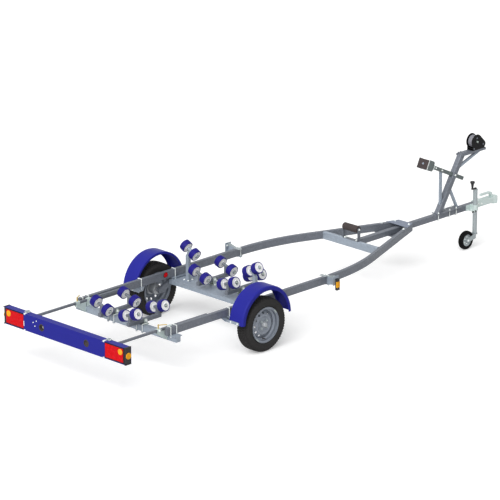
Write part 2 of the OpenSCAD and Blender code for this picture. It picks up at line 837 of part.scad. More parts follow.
module marker_brackets() {
    color("silver") both_sides() union() {
        block([rail_x - clamp_half, rail_x + clamp_half], [marker_y, marker_y + marker_clamp],
            [rail_z - clamp_t, rail_z]);
        along_y(marker_y, marker_y + marker_t) polygon([
            [rail_out, rail_z - clamp_t], [marker_x, marker_web_z[0]],
            [marker_x, marker_web_z[1]], [rail_out, rail_top]]);
        block([marker_x - marker_t, marker_x], marker_y * [1, 1] + marker_flange, marker_flange_z);
    }
}

module marker_place() { translate([marker_x, marker_lamp_y, marker_lamp_z]) children(); }

module marker_holders() {
    ends = (marker_h - marker_lens_h) / 2;
    color("darkslategray") both_sides() marker_place() union() {
        block([0, marker_d], [-marker_w / 2, marker_w / 2], [-marker_h / 2, marker_h / 2]);
        for (z = [-marker_h / 2, marker_lens_h / 2])
            block([marker_d, 2 * marker_d], [-marker_w / 2, marker_w / 2], [z, z + ends]);
    }
}

module marker_lenses() {
    color("orange") both_sides() marker_place()
        block([marker_d, marker_d + marker_proud], [-marker_w / 2, marker_w / 2],
            [-marker_lens_h / 2, marker_lens_h / 2]);
}

// Winch post, drawn in its own upright frame and leaned forward

module post_frame() { translate([0, post_y, drawbar_top]) rotate([-post_lean, 0, 0]) children(); }
module bow_frame() {
    z = drawbar_top + bow_up * cos(post_lean);
    translate([0, post_at(z), z]) rotate([-bow_tilt, 0, 0]) children();
}
module post_space() {
    post_frame() translate([0, 0, far / 4]) cube([post_s, post_s, far], center = true);
}

module winch_post() {
    hole = bow_s + 2 * face_gap;
    color("slategray") union() {
        difference() {
            post_frame() translate([0, 0, -post_s]) linear_extrude(far / 5)
                tube_section(post_s, post_s, drawbar_wall);
            block([-far, far], [0, far], [0, base_top]);
            block([-far, far], [0, far], [platform_under, far]);
            bow_frame() cube([hole, 6 * post_s, hole], center = true);
        }
        block([-base_half, base_half], [base_rear, base_front], [drawbar_top, base_top]);
        along_y(platform_rear, platform_rear + platform_len)
            translate([-platform_half, platform_z - platform_lip]) difference() {
                square([2 * platform_half, platform_lip]);
                translate([platform_t, -1])
                    square([2 * platform_half - 2 * platform_t, platform_lip - platform_t + 1]);
            }
    }
}

module bow_stop_bar() {
    color("slategray") bow_frame() union() {
        along_y(-bow_reach, bow_front) tube_section(bow_s, bow_s, rocker_wall);
        block([-bow_s, bow_s], [-bow_reach - bow_plate_t, -bow_reach], [-bow_plate_half, bow_plate_half]);
    }
}

module bow_stop_block() {
    back = -bow_reach - bow_plate_t;
    color("dimgray") bow_frame() along_y(back - block_d, back) polygon(rounded(block_w, block_h, 10));
}

// A flat strut between two points given as (Y, Z)
module strut(from, to) {
    run = to - from;
    translate(from) rotate(atan2(run[1], run[0])) translate([0, -strut_w / 2])
        square([norm(run), strut_w]);
}

// Three struts cut off at the post, the bow stop bar, the platform and the base plate
module post_struts() {
    platform_front = platform_rear + platform_len;
    color("silver") {
        difference() {
            along_x(-strut_half, strut_half)
                strut([rear_strut_y, rear_strut_low], [rear_strut_y, platform_z]);
            post_space();
            bow_frame() block([-far, far], [-far, far], [-bow_s / 2, far]);
        }
        difference() {
            along_x(-strut_half, strut_half)
                strut([post_at(fore_strut_z), fore_strut_z], [platform_front, platform_under]);
            post_space();
            block([-far, far], [0, far], [platform_under, far]);
            block([-far, far], [platform_front, far], [0, far]);
        }
        difference() {
            along_x(-strut_half, strut_half)
                strut([post_at(front_strut_z), front_strut_z], [base_front - strut_w, drawbar_top]);
            post_space();
            block([-far, far], [0, far], [0, base_top]);
        }
    }
}

// An outline round two circles and their outer tangents. Each circle is given as [[y, z], radius]
module round_link(a, b) {
    run = b[0] - a[0];
    turn = atan2(run[1], run[0]);
    spread = acos((a[1] - b[1]) / norm(run));
    translate(a[0]) circle(a[1]);
    translate(b[0]) circle(b[1]);
    polygon([for (c = [[a, spread], [b, spread], [b, -spread], [a, -spread]])
        c[0][0] + c[0][1] * [cos(turn + c[1]), sin(turn + c[1])]]);
}

// Two drop-shaped cheeks on a foot, held apart by rods
module winch_frame() {
    foot_rear = winch_y - winch_foot;
    foot_front = winch_nose[0] + winch_nose_r;
    rods = [[foot_rear + 3 * winch_rod_r, winch_rod_z], winch_nose];
    color("darkslategray") union() {
        block([-cheek_in - cheek_t, cheek_in + cheek_t], [foot_rear, foot_front],
            [platform_z, platform_z + cheek_t]);
        both_sides() difference() {
            along_x(cheek_in, cheek_in + cheek_t) union() {
                round_link([[winch_y, winch_z], cheek_r], [winch_nose, winch_nose_r]);
                translate([foot_rear, platform_z]) square([winch_nose[0] - foot_rear, winch_foot_h]);
            }
            translate([0, winch_y, winch_z]) rod_x(0, far, drum_shaft_r + run_fit);
        }
        for (rod = rods) translate([0, rod[0], rod[1]]) rod_x(-cheek_in, cheek_in, winch_rod_r);
    }
}

module winch_drum() {
    edge = cheek_in - drum_play;
    core = edge - drum_flange_t;
    reach = cheek_in + cheek_t + drum_shaft_out;
    color("gray") translate([0, winch_y, winch_z]) about_x() polygon([
        [0, -reach], [drum_shaft_r, -reach], [drum_shaft_r, -edge], [drum_r, -edge],
        [drum_r, -core], [drum_core_r, -core], [drum_core_r, core], [drum_r, core],
        [drum_r, edge], [drum_shaft_r, edge], [drum_shaft_r, reach], [0, reach]]);
}

// Coupling on the drawbar's end

module coupling_body() {
    outer = drawbar_s / 2 + coupling_wall;
    neck_y = drawbar_front + 4;
    color("honeydew") difference() {
        union() {
            block([-outer, outer], [drawbar_front - coupling_back, neck_y],
                [rail_z, drawbar_top + coupling_wall]);
            translate([0, 0, rail_z]) linear_extrude(head_high - rail_z) polygon([
                [-outer, neck_y - 1], [outer, neck_y - 1], [head_r - 8, ball_y], [8 - head_r, ball_y]]);
            translate([0, ball_y, head_low]) cylinder(h = head_high - head_low, r = head_r);
        }
        block([-drawbar_s / 2, drawbar_s / 2], [0, drawbar_front], [0, drawbar_top]);
        translate([0, ball_y, head_low - 1]) cylinder(h = socket_deep + 1, r = socket_r);
    }
}

module coupling_handle() {
    top = head_high;
    color("silver") along_x(-handle_half, handle_half) polygon([
        [ball_y - 20, top], [ball_y - 46, top], [ball_y - 70, top + 44], [ball_y - 196, top + 44],
        [ball_y - 206, top + 38], [ball_y - 206, top + 56], [ball_y - 190, top + 62],
        [ball_y - 62, top + 62], [ball_y - 40, top + 50]]);
}

// Jockey wheel

module jockey_place() { translate([jockey_x, jockey_y, 0]) children(); }

module jockey_clamp() {
    ring = jockey_r + slide_fit + clamp_ring_t;
    color("lightsteelblue") difference() {
        union() {
            jockey_place() translate([0, 0, rail_z]) cylinder(h = clamp_h, r = ring);
            block([drawbar_s / 2, jockey_x], [jockey_y - ring + 8, jockey_y + ring - 8],
                [rail_z, rail_z + clamp_h]);
            block([drawbar_s / 2, drawbar_s / 2 + plate_t], jockey_y * [1, 1] + clamp_plate,
                [rail_z, rail_z + clamp_h]);
            translate([0, screw_y, screw_z]) rod_x(drawbar_s / 2, screw_x, screw_r);
            translate([screw_x, screw_y, screw_z]) rod_y(-grip_half, grip_half, grip_r);
        }
        jockey_place() translate([0, 0, -far / 2]) cylinder(h = far, r = jockey_r + slide_fit);
    }
}

module jockey_tube() {
    color("lightgray") jockey_place() difference() {
        union() {
            translate([0, 0, jockey_low]) cylinder(h = jockey_top - jockey_low, r = jockey_r);
            translate([0, 0, jockey_top]) cylinder(h = 6, r = jockey_r + 3);
        }
        cylinder(h = jockey_top, r = jockey_r - jockey_wall);
    }
}

module jockey_crank() {
    z = jockey_top + 6;
    color("darkslategray") union() {
        jockey_place() translate([0, 0, z]) cylinder(h = 14, r = 14);
        block([jockey_x - 8, jockey_x + 8], [crank_y, jockey_y], [z + 4, z + 12]);
        translate([jockey_x, crank_y, z + 4]) rotate_extrude() polygon([
            [0, 0], [13, 0], [13, 12], [10, 16], [17, 68], [14, 76], [0, 78]]);
    }
}

module jockey_fork() {
    head_top = jockey_low - 0.5;
    head_z = head_top - fork_head_t;
    inner = jockey_w / 2 + fork_play;
    yoke_y = jockey_wheel_y + jockey_d / 2 + yoke_gap;
    spigot = jockey_r - jockey_wall - 2 * run_fit;
    color("lightgray") union() {
        jockey_place() translate([0, 0, head_z]) cylinder(h = fork_head_t, r = fork_head_r);
        jockey_place() translate([0, 0, head_z]) cylinder(h = 90, r = spigot);
        block([jockey_x - inner - fork_t, jockey_x + inner + fork_t], [yoke_y, yoke_y + yoke_t],
            [jockey_axle_z, head_top]);
        for (x = [jockey_x - inner - fork_t, jockey_x + inner]) along_x(x, x + fork_t) union() {
            translate([jockey_wheel_y, jockey_axle_z]) circle(20);
            polygon([
                [jockey_wheel_y, jockey_axle_z - 20], [yoke_y + yoke_t, jockey_axle_z],
                [yoke_y + yoke_t, head_top], [yoke_y - 20, head_top],
                [jockey_wheel_y, jockey_axle_z + 20]]);
        }
        translate([0, jockey_wheel_y, jockey_axle_z])
            rod_x(jockey_x - inner - fork_t - 6, jockey_x + inner + fork_t + 6, jockey_axle_r);
    }
}

module jockey_wheel_place() { translate([jockey_x, jockey_wheel_y, jockey_axle_z]) children(); }

module jockey_rim() {
    half = jockey_w / 2;
    bore = jockey_axle_r + run_fit;
    color("silver") jockey_wheel_place() about_x() polygon([
        [bore, -half], [18, -half], [20, 10 - half], [jockey_rim_r - 10, 12 - half],
        [jockey_rim_r - 6, 4 - half], [jockey_rim_r, 4 - half], [jockey_rim_r, half - 4],
        [jockey_rim_r - 6, half - 4], [jockey_rim_r - 10, half - 12], [20, half - 10], [18, half],
        [bore, half]]);
}

module jockey_tyre() {
    half = jockey_w / 2;
    r = jockey_d / 2;
    bed = jockey_rim_r + face_gap;
    color("dimgray") jockey_wheel_place() about_x() polygon([
        [bed, 2 - half], [r - 20, -half], [r - 8, 2 - half], [r - 2, 9 - half], [r, 18 - half],
        [r, half - 18], [r - 2, half - 9], [r - 8, half - 2], [r - 20, half], [bed, half - 2]]);
}

// Drawing

from_axle() {
    rail(-1);  // rail_left
    rail(1);  // rail_right
    drawbar();
    front_crossmember();
    axle_crossmember();
    rear_crossmember();
    axle_beam();
    trailing_arms();
    mudguard(-1);  // mudguard_left
    mudguard(1);  // mudguard_right
    mudguard_stays();
    u_bolts();
    tube_guides();
    lock_levers();
    winch_post();
    winch_frame();
    bow_stop_bar();
    bow_stop_block();
    post_struts();
    coupling_body();
    coupling_handle();
    jockey_clamp();
    keel_bracket();
    marker_brackets();
    marker_holders();
    marker_lenses();
    rocker_brackets();
    roller_uprights();
    light_board();
    lamp_housings();
    red_lenses();
    amber_lenses();
    extension_tubes();
    tyre(-1);  // tyre_left
    tyre(1);  // tyre_right
    rim(-1);  // rim_left
    rim(1);  // rim_right
    hub(-1);  // hub_left
    hub(1);  // hub_right
    jockey_tube();
    jockey_crank();
    jockey_fork();
    jockey_rim();
    jockey_tyre();
    keel_roller();
    winch_drum();
    for (beam = rockers) rocker(beam[1], beam[2]);
    for (pair = low_pairs) low_rollers(pair[1], pair[2]);
    for (pair = high_pairs) high_rollers(pair[1]);
}
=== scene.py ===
# %% [markdown]
# # A roller boat trailer, dressed over its frame
# The trailer's steel, wheels and rollers are already there as solids. This lesson gives every
# surface its finish and adds the small things that the eye expects: tread, nuts, welds, lenses.
# Everything is in metres, +X is the trailer's right, +Y is forward and +Z is up.

# %% Load the frame
import json
import math

import bmesh
import bpy
from mathutils import Matrix, Vector

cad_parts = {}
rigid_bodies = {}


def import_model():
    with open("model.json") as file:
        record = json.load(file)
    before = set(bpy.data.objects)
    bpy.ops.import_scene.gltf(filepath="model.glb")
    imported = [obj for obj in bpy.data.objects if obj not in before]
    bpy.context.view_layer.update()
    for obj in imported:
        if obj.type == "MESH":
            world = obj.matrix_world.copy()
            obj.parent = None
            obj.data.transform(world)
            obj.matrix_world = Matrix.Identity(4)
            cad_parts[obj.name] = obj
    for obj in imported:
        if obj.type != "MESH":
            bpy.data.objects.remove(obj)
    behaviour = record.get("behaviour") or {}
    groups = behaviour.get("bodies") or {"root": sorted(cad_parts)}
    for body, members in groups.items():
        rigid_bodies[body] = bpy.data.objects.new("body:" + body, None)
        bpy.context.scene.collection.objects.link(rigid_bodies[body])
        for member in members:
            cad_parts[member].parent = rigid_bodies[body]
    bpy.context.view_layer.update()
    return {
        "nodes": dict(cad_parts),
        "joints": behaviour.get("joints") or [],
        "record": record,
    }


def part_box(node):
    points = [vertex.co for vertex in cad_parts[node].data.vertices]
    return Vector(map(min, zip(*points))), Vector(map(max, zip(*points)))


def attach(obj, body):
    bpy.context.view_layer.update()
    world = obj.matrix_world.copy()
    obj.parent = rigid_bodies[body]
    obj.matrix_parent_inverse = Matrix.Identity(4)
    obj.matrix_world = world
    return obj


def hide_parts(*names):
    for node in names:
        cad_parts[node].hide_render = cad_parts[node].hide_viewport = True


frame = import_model()
scene = bpy.context.scene
joints = {joint["name"]: joint for joint in frame["joints"]}
RIGHT, FRONT, UP = Vector((1, 0, 0)), Vector((0, 1, 0)), Vector((0, 0, 1))


def middle(name):
    """Centre of a node's box."""
    low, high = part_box(name)
    return (low + high) / 2


axle_ground = Vector((0, middle("hub_right").y, 0))


def at(x, y, z):
    """A point given from the ground under the axle."""
    return axle_ground + Vector((x, y, z))


# %% [markdown]
# ## The camera
# The picture was drawn from far away through a long lens, so its lines are almost parallel. A
# perspective camera 40 m off with a 291 mm lens gives the same small convergence. It looks at a
# point a little ahead of the axle, from behind and to the right.

# %% Camera
view_azimuth = math.radians(44.82)
view_elevation = math.radians(18.31)
view_distance = 40.0
view_centre = at(0.127, 0.484, 0.768)
lens_mm = 290.85
sensor_mm = 36.0
far_clip = 200.0
away = Vector((
    math.sin(view_azimuth) * math.cos(view_elevation),
    -math.cos(view_azimuth) * math.cos(view_elevation),
    math.sin(view_elevation)))
camera = bpy.data.objects.new("camera", bpy.data.cameras.new("camera"))
camera.data.lens = lens_mm
camera.data.sensor_width = sensor_mm
camera.data.clip_end = far_clip
camera.location = view_centre + away * view_distance
camera.rotation_mode = "QUATERNION"
camera.rotation_quaternion = (-away).to_track_quat("-Z", "Y")
scene.collection.objects.link(camera)
scene.camera = camera
print("camera at", [round(c, 2) for c in camera.location])

# %% [markdown]
# ## Nodes
# The sky, the floor, the finishes and the repeating shapes are all built from nodes. One helper makes
# a node and feeds its inputs: a socket is linked, and anything else is set as a plain value.

# %% Node helpers
def node(tree, kind, inputs=None, **settings):
    """A node with its settings, and its inputs linked or set."""
    made = tree.nodes.new(kind)
    for key, value in settings.items():
        setattr(made, key, value)
    for key, value in (inputs or {}).items():
        if isinstance(value, bpy.types.NodeSocket):
            tree.links.new(value, made.inputs[key])
        else:
            made.inputs[key].default_value = value
    return made


def make(tree, kind, inputs=None, **settings):
    """The first output of such a node."""
    return node(tree, kind, inputs, **settings).outputs[0]


def calc(tree, operation, *values):
    """The result of a Math node."""
    return make(tree, "ShaderNodeMath", dict(enumerate(values)), operation=operation)


# %% [markdown]
# ## Floor and light
# A studio sweep would bend up behind the object. From this height the floor alone fills the
# picture, so a large pale plane is enough. One broad sun from behind lights the tops and the faces
# that look back, a weaker one near the camera fills the sides, and the sky is white. The floor
# throws back less light than it shows, so that the undersides stay darker than the tops.

# %% Stage
scene.view_settings.view_transform = "Standard"
sky_strength = 0.37
sun_strength = 2.7
sun_softness = math.radians(60)
sun_from = Vector((0.30, -1.0, 0.92))
fill_strength = 0.40
fill_softness = math.radians(60)
fill_from = Vector((0.75, -0.66, 0.40))
floor_half = 90.0
floor_drop = 0.001
floor_pale = 0.93
floor_bounce = 0.45
floor_lift = 0.28
floor_roughness = 0.9


def camera_mask(tree):
    """1 for rays that show the backdrop itself: straight, mirrored or through glass."""
    path = node(tree, "ShaderNodeLightPath").outputs
    seen = calc(tree, "MAXIMUM", path["Is Camera Ray"], path["Is Glossy Ray"])
    return calc(tree, "MAXIMUM", seen, path["Is Transmission Ray"])


world = bpy.data.worlds.new("studio")
world.use_nodes = True
scene.world = world
sky = world.node_tree.nodes["Background"]
sky.inputs["Color"].default_value = (1, 1, 1, 1)
sky_level = make(world.node_tree, "ShaderNodeMapRange", {
    "Value": camera_mask(world.node_tree), "To Min": sky_strength, "To Max": 1.0})
world.node_tree.links.new(sky_level, sky.inputs["Strength"])

lamps = [("sun", sun_from, sun_strength, sun_softness), ("fill", fill_from, fill_strength, fill_softness)]
for name, comes_from, strength, softness in lamps:
    lamp = bpy.data.objects.new(name, bpy.data.lights.new(name, "SUN"))
    lamp.data.energy = strength
    lamp.data.angle = softness
    lamp.rotation_mode = "QUATERNION"
    lamp.rotation_quaternion = (-comes_from).to_track_quat("-Z", "Y")
    scene.collection.objects.link(lamp)

floor_mesh = bpy.data.meshes.new("floor")
corners = [(x * floor_half, y * floor_half, 0) for x, y in ((-1, -1), (1, -1), (1, 1), (-1, 1))]
floor_mesh.from_pydata(corners, [], [(0, 1, 2, 3)])
floor = bpy.data.objects.new("floor", floor_mesh)
floor.location.z = -floor_drop
scene.collection.objects.link(floor)
floor_paint = bpy.data.materials.new("floor")
floor_paint.use_nodes = True
paint_tree = floor_paint.node_tree
paint = paint_tree.nodes["Principled BSDF"]
seen = camera_mask(paint_tree)
tone = make(paint_tree, "ShaderNodeMapRange", {"Value": seen, "To Min": floor_bounce, "To Max": floor_pale})
paint_tree.links.new(tone, paint.inputs["Base Color"])
paint_tree.links.new(calc(paint_tree, "MULTIPLY", seen, floor_lift), paint.inputs["Emission Strength"])
paint.inputs["Emission Color"].default_value = (1, 1, 1, 1)
paint.inputs["Roughness"].default_value = floor_roughness
paint.inputs["Specular IOR Level"].default_value = 0.0
floor_mesh.materials.append(floor_paint)
print("stage: floor", 2 * floor_half, "m wide, two suns and a white sky")

# %% [markdown]
# ## Shared surface effects
# Hot-dip zinc freezes into crystals a centimetre or two across, and paint, plastic and rubber carry a
# faint mottle and a fine grain. Both effects are shader groups: each takes the piece's own coordinates
# and gives out a colour, a roughness and a height, and every material sets its own values on it.

# %% Shader groups
def effect_group(name, sizes, pattern):
    """A shader group for a colour that swings in tone, a roughness and a height, after a pattern."""
    group = bpy.data.node_groups.new(name, "ShaderNodeTree")
    sockets = [("INPUT", "Vector", "Vector"), ("INPUT", "Colour", "Color")]
    sockets += [("INPUT", label, "Float") for label in (*sizes, "Contrast", "Gloss")]
    sockets += [
        ("OUTPUT", "Colour", "Color"), ("OUTPUT", "Roughness", "Float"), ("OUTPUT", "Height", "Float")]
    for way, label, kind in sockets:
        group.interface.new_socket(label, in_out=way, socket_type="NodeSocket" + kind)
    given = group.nodes.new("NodeGroupInput").outputs
    swing, dulling, dull_share, height = pattern(group, given)
    tone = calc(group, "MULTIPLY_ADD", swing, given["Contrast"], 1.0)
    shaded = node(group, "ShaderNodeMix", {"Factor": 1.0, "A": given["Colour"], "B": tone},
                  data_type="RGBA", blend_type="MULTIPLY").outputs["Result"]
    roughness = calc(group, "MULTIPLY_ADD", dulling, dull_share, given["Gloss"])
    node(group, "NodeGroupOutput", {"Colour": shaded, "Roughness": roughness, "Height": height})
    return group


def crystal_pattern(group, given):
    """Zinc crystals: flat cells of slightly different brightness and gloss, over dull patches."""
    cells = node(group, "ShaderNodeTexVoronoi", {
        "Vector": given["Vector"], "Scale": given["Crystals per metre"]},
        feature="F1", voronoi_dimensions="3D").outputs
    split = node(group, "ShaderNodeSeparateColor", {0: cells["Color"]}).outputs
    patches = make(group, "ShaderNodeTexNoise", {"Vector": given["Vector"], "Scale": 3.0, "Detail": 3.0})
    swing = calc(group, "SUBTRACT", calc(group, "ADD", split["Red"], patches), 1.0)
    return swing, split["Green"], 0.16, cells["Distance"]


def cloud_pattern(group, given):
    """Paint, plastic and rubber: a soft cloud of tone, and a fine grain in the height."""
    clouds = make(group, "ShaderNodeTexNoise", {
        "Vector": given["Vector"], "Scale": given["Clouds per metre"], "Detail": 4.0})
    grain = make(group, "ShaderNodeTexNoise", {
        "Vector": given["Vector"], "Scale": given["Grains per metre"], "Detail": 2.0})
    swing = calc(group, "SUBTRACT", clouds, 0.5)
    return swing, swing, 0.15, grain


spangle = effect_group("zinc_spangle", ["Crystals per metre"], crystal_pattern)
mottle = effect_group("mottle", ["Clouds per metre", "Grains per metre"], cloud_pattern)
print("shader groups:", spangle.name, mottle.name)

# %% [markdown]
# ## Finishes
# Each finish is one material with a Principled shader. What is the same all over, such as the
# metal's share or the shine, is set on the shader itself, and what changes over the surface comes
# from a group. The names are those of the frame's own finish slots, with a few more for small pieces.

# %% Materials
relief_depth = 0.0004


def finish(name, group, values, bump=0.1, **shader):
    """A material whose colour, roughness and bump come from a group set to these values."""
    material = bpy.data.materials.new(name)
    material.use_nodes = True
    tree = material.node_tree
    bsdf = tree.nodes["Principled BSDF"]
    place = node(tree, "ShaderNodeTexCoord").outputs["Object"]
    effect = node(tree, "ShaderNodeGroup", {"Vector": place, **values}, node_tree=group).outputs
    relief = make(tree, "ShaderNodeBump", {
        "Strength": bump, "Distance": relief_depth, "Height": effect["Height"]})
    tree.links.new(effect["Colour"], bsdf.inputs["Base Color"])
    tree.links.new(effect["Roughness"], bsdf.inputs["Roughness"])
    tree.links.new(relief, bsdf.inputs["Normal"])
    for key, value in shader.items():
        bsdf.inputs[key.replace("_", " ")].default_value = value
    return material


def zinc(name, colour, crystals, contrast, gloss, metal):
    """Zinc-coated steel with crystals of that size."""
    values = {"Colour": (*colour, 1), "Crystals per metre": crystals, "Contrast": contrast, "Gloss": gloss}
    return finish(name, spangle, values, Metallic=metal)


def skin(name, colour, clouds, contrast, grains, gloss, bump, specular):
    """Paint, plastic or rubber with a mottle and a grain of that size."""
    values = {"Colour": (*colour, 1), "Clouds per metre": clouds, "Contrast": contrast,
              "Grains per metre": grains, "Gloss": gloss}
    return finish(name, mottle, values, bump, Specular_IOR_Level=specular)


# Columns: colour, crystals per metre, contrast, gloss, share of bare metal
zincs = {
    "galvanised": ((0.155, 0.170, 0.200), 70, 0.20, 0.45, 0.20),
    "bright_galvanised": ((0.32, 0.370, 0.435), 80, 0.16, 0.42, 0.22),
    "zinc_plate": ((0.62, 0.72, 0.70), 300, 0.06, 0.34, 0.20),
    "gold_zinc": ((0.58, 0.42, 0.13), 300, 0.12, 0.34, 0.25),
    "wheel_steel": ((0.225, 0.250, 0.295), 240, 0.05, 0.36, 0.35),
    "hub_steel": ((0.42, 0.44, 0.46), 200, 0.08, 0.40, 0.35),
    "bolt_zinc": ((0.86, 0.90, 0.88), 400, 0.05, 0.34, 0.05),
    "grey_zinc": ((0.42, 0.48, 0.45), 400, 0.08, 0.38, 0.25),
    "nose_zinc": ((0.20, 0.235, 0.31), 80, 0.16, 0.42, 0.22),
    "pale_plate": ((0.37, 0.415, 0.43), 120, 0.10, 0.40, 0.20),
    "bow_zinc": ((0.115, 0.140, 0.140), 120, 0.12, 0.42, 0.20),
}
# Columns: colour, clouds per metre, contrast, grains per metre, gloss, bump, specular
skins = {
    "blue_paint": ((0.022, 0.024, 0.275), 5, 0.16, 500, 0.40, 0.05, 0.07),
    "black_paint": ((0.010, 0.010, 0.011), 8, 0.30, 500, 0.42, 0.08, 0.08),
    "black_plastic": ((0.022, 0.022, 0.024), 10, 0.30, 900, 0.50, 0.15, 0.25),
    "red_lens": ((0.66, 0.003, 0.008), 34, 0.45, 300, 0.26, 0.05, 0.08),
    "amber_lens": ((0.90, 0.42, 0.02), 20, 0.12, 300, 0.26, 0.05, 0.10),
    "road_tyre": ((0.033, 0.032, 0.032), 12, 0.35, 700, 0.70, 0.20, 0.12),
    "dark_rubber": ((0.060, 0.048, 0.048), 14, 0.25, 600, 0.60, 0.20, 0.15),
    "roller_plastic": ((0.018, 0.015, 0.20), 16, 0.18, 700, 0.46, 0.12, 0.10),
    "hub_white": ((0.93, 0.93, 0.93), 16, 0.05, 500, 0.42, 0.05, 0.25),
    "jockey_black": ((0.004, 0.004, 0.004), 14, 0.30, 700, 0.60, 0.20, 0.06),
    "web_grey": ((0.25, 0.25, 0.28), 40, 0.30, 260, 0.80, 0.35, 0.10),
}
finishes = {name: zinc(name, *values) for name, values in zincs.items()}
finishes.update({name: skin(name, *values) for name, values in skins.items()})

# %% Finishes onto the frame
other_look = {
    "u_bolts": "bolt_zinc", "roller_uprights": "bright_galvanised", "rocker_brackets": "grey_zinc",
    "jockey_rim": "pale_plate", "jockey_tube": "pale_plate", "jockey_fork": "pale_plate",
    "jockey_tyre": "jockey_black", "jockey_clamp": "zinc_plate", "winch_drum": "black_paint",
    "bow_stop_bar": "bow_zinc"}
for row in frame["record"]["subparts"]:
    look = other_look.get(row["node"], row["material_slot"])
    for place in frame["nodes"][row["node"]].material_slots:
        place.material = finishes[look]

# %% [markdown]
# ## Shapes for the small pieces
# The added pieces are blocks with cut edges, flat plates, profiles turned about an axis, and round
# bars along a path. Each helper gives plain points and faces, so that several can be joined into one
# mesh whose doubles are merged and whose faces all point outwards.

# %% Shape helpers
sharp_edge = math.radians(32)


def span(centre, half):
    """The two ends of a length about its middle."""
    return centre - half, centre + half


def block(low, high, edge=0.0012):
    """A box between two corners with its edges cut off."""
    low, high = Vector(low), Vector(high)
    shape = bmesh.new()
    bmesh.ops.create_cube(shape, size=1.0)
    bmesh.ops.scale(shape, vec=high - low, verts=shape.verts)
    bmesh.ops.translate(shape, vec=(low + high) / 2, verts=shape.verts)
    bmesh.ops.bevel(shape, geom=shape.edges[:], offset=edge, segments=1, affect="EDGES", profile=0.5)
    shape.verts.index_update()
    points = [v.co.copy() for v in shape.verts]
    faces = [[v.index for v in face.verts] for face in shape.faces]
    shape.free()
    return points, faces


def brick(x, y, z, edge=0.0012):
    """A block over three spans, given from the ground under the axle."""
    low, high = zip(sorted(x), sorted(y), sorted(z))
    return block(at(*low), at(*high), edge)


def loft(outlines):
    """A skin over outlines of as many points each, with flat ends. Two outlines make a plate."""
    count = len(outlines[0])
    points = [point for outline in outlines for point in outline]
    last = len(points) - count
    faces = [tuple(range(count)), tuple(range(last, len(points)))]
    for here in range(0, last, count):
        for k in range(count):
            n = (k + 1) % count
            faces.append((here + k, here + n, here + count + n, here + count + k))
    return points, faces


def turned(profile, centre, axis, segments=48, closed=False):
    """A profile of (radius, distance along) pairs turned about an axis through a centre."""
    axis = Vector(axis).normalized()
    side = axis.orthogonal().normalized()
    up = axis.cross(side)
    points, faces = [], []
    for i in range(segments):
        angle = 2 * math.pi * i / segments
        radial = side * math.cos(angle) + up * math.sin(angle)
        points += [Vector(centre) + axis * along + radial * radius for radius, along in profile]
    count = len(profile)
    for i in range(segments):
        j = (i + 1) % segments
        for k in range(count if closed else count - 1):
            n = (k + 1) % count
            faces.append((i * count + k, j * count + k, j * count + n, i * count + n))
    return points, faces


def bent(corners, radius, steps=6):
    """A path through corners, each rounded with that radius."""
    path = [Vector(corners[0])]
    for before, corner, after in zip(corners, corners[1:], corners[2:]):
        back = (before - corner).normalized() * radius
        ahead = (after - corner).normalized() * radius
        for i in range(steps + 1):
            t = i / steps
            path.append(corner + back * (1 - t) ** 2 + ahead * t ** 2)
    return path + [Vector(corners[-1])]


def bar(path, radius, segments=12):
    """A round bar along a bent path that lies in one plane, with flat ends."""
    across = (path[1] - path[0]).cross(path[-1] - path[0]).normalized()
    angles = [2 * math.pi * k / segments for k in range(segments)]
    outlines = []
    for i, point in enumerate(path):
        ahead = (path[min(i + 1, len(path) - 1)] - path[max(i - 1, 0)]).normalized()
        up = across.cross(ahead)
        outlines.append([point + (across * math.cos(a) + up * math.sin(a)) * radius for a in angles])
    return loft(outlines)


def mirrored(point):
    """A point or a direction on the other side of the trailer."""
    return Vector((-point.x, point.y, point.z))


def both(shapes):
    """The shapes, and the same on the other side."""
    return shapes + [([mirrored(p) for p in points], faces) for points, faces in shapes]


def both_places(places):
    """Fastener places as (point, aim), and the same on the other side."""
    return places + [(mirrored(point), mirrored(aim)) for point, aim in places]


def around(angle):
    """The way out from the X axis at an angle."""
    return Vector((0, math.cos(angle), math.sin(angle)))


def bolt_circle(centre, s, count, radius, out):
    """Places of bolts round the X axis through a centre, on its left (-1) or right (1) side."""
    angles = [2 * math.pi * (i + 0.5) / count for i in range(count)]
    return [(centre + around(angle) * radius + s * out * RIGHT, s * RIGHT) for angle in angles]


def about(centre, axis):
    """The matrix that carries a shape drawn about the X axis to a centre and an axis."""
    return Matrix.Translation(centre) @ RIGHT.rotation_difference(axis).to_matrix().to_4x4()


# %% Pieces
def join(name, shapes):
    """One mesh of several shapes, closed and facing outwards."""
    whole = bmesh.new()
    for points, faces in shapes:
        made = [whole.verts.new(point) for point in points]
        for face in faces:
            whole.faces.new([made[i] for i in face])
    bmesh.ops.remove_doubles(whole, verts=whole.verts, dist=1e-6)
    bmesh.ops.dissolve_degenerate(whole, dist=1e-7, edges=whole.edges)
    bmesh.ops.recalc_face_normals(whole, faces=whole.faces)
    mesh = bpy.data.meshes.new(name)
    whole.to_mesh(mesh)
    whole.free()
    return mesh


def add_mesh(name, mesh, body, hides=()):
    """An object of a finished mesh that rides on a body, and stands for the CAD nodes it hides."""
    mesh.shade_smooth()
    mesh.set_sharp_from_angle(angle=sharp_edge)
    piece = bpy.data.objects.new(name, mesh)
    scene.collection.objects.link(piece)
    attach(piece, body)
    if hides:
        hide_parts(*hides)
    return piece


def add_piece(name, shapes, body, slot, look=None):
    """Shapes joined into one piece, with its slot's finish or another."""
    mesh = join(name, shapes)
    mesh.materials.append(finishes[look or slot])
    return add_mesh(name, mesh, body)


print("shape helpers ready, edges over", round(math.degrees(sharp_edge)), "degrees stay sharp")

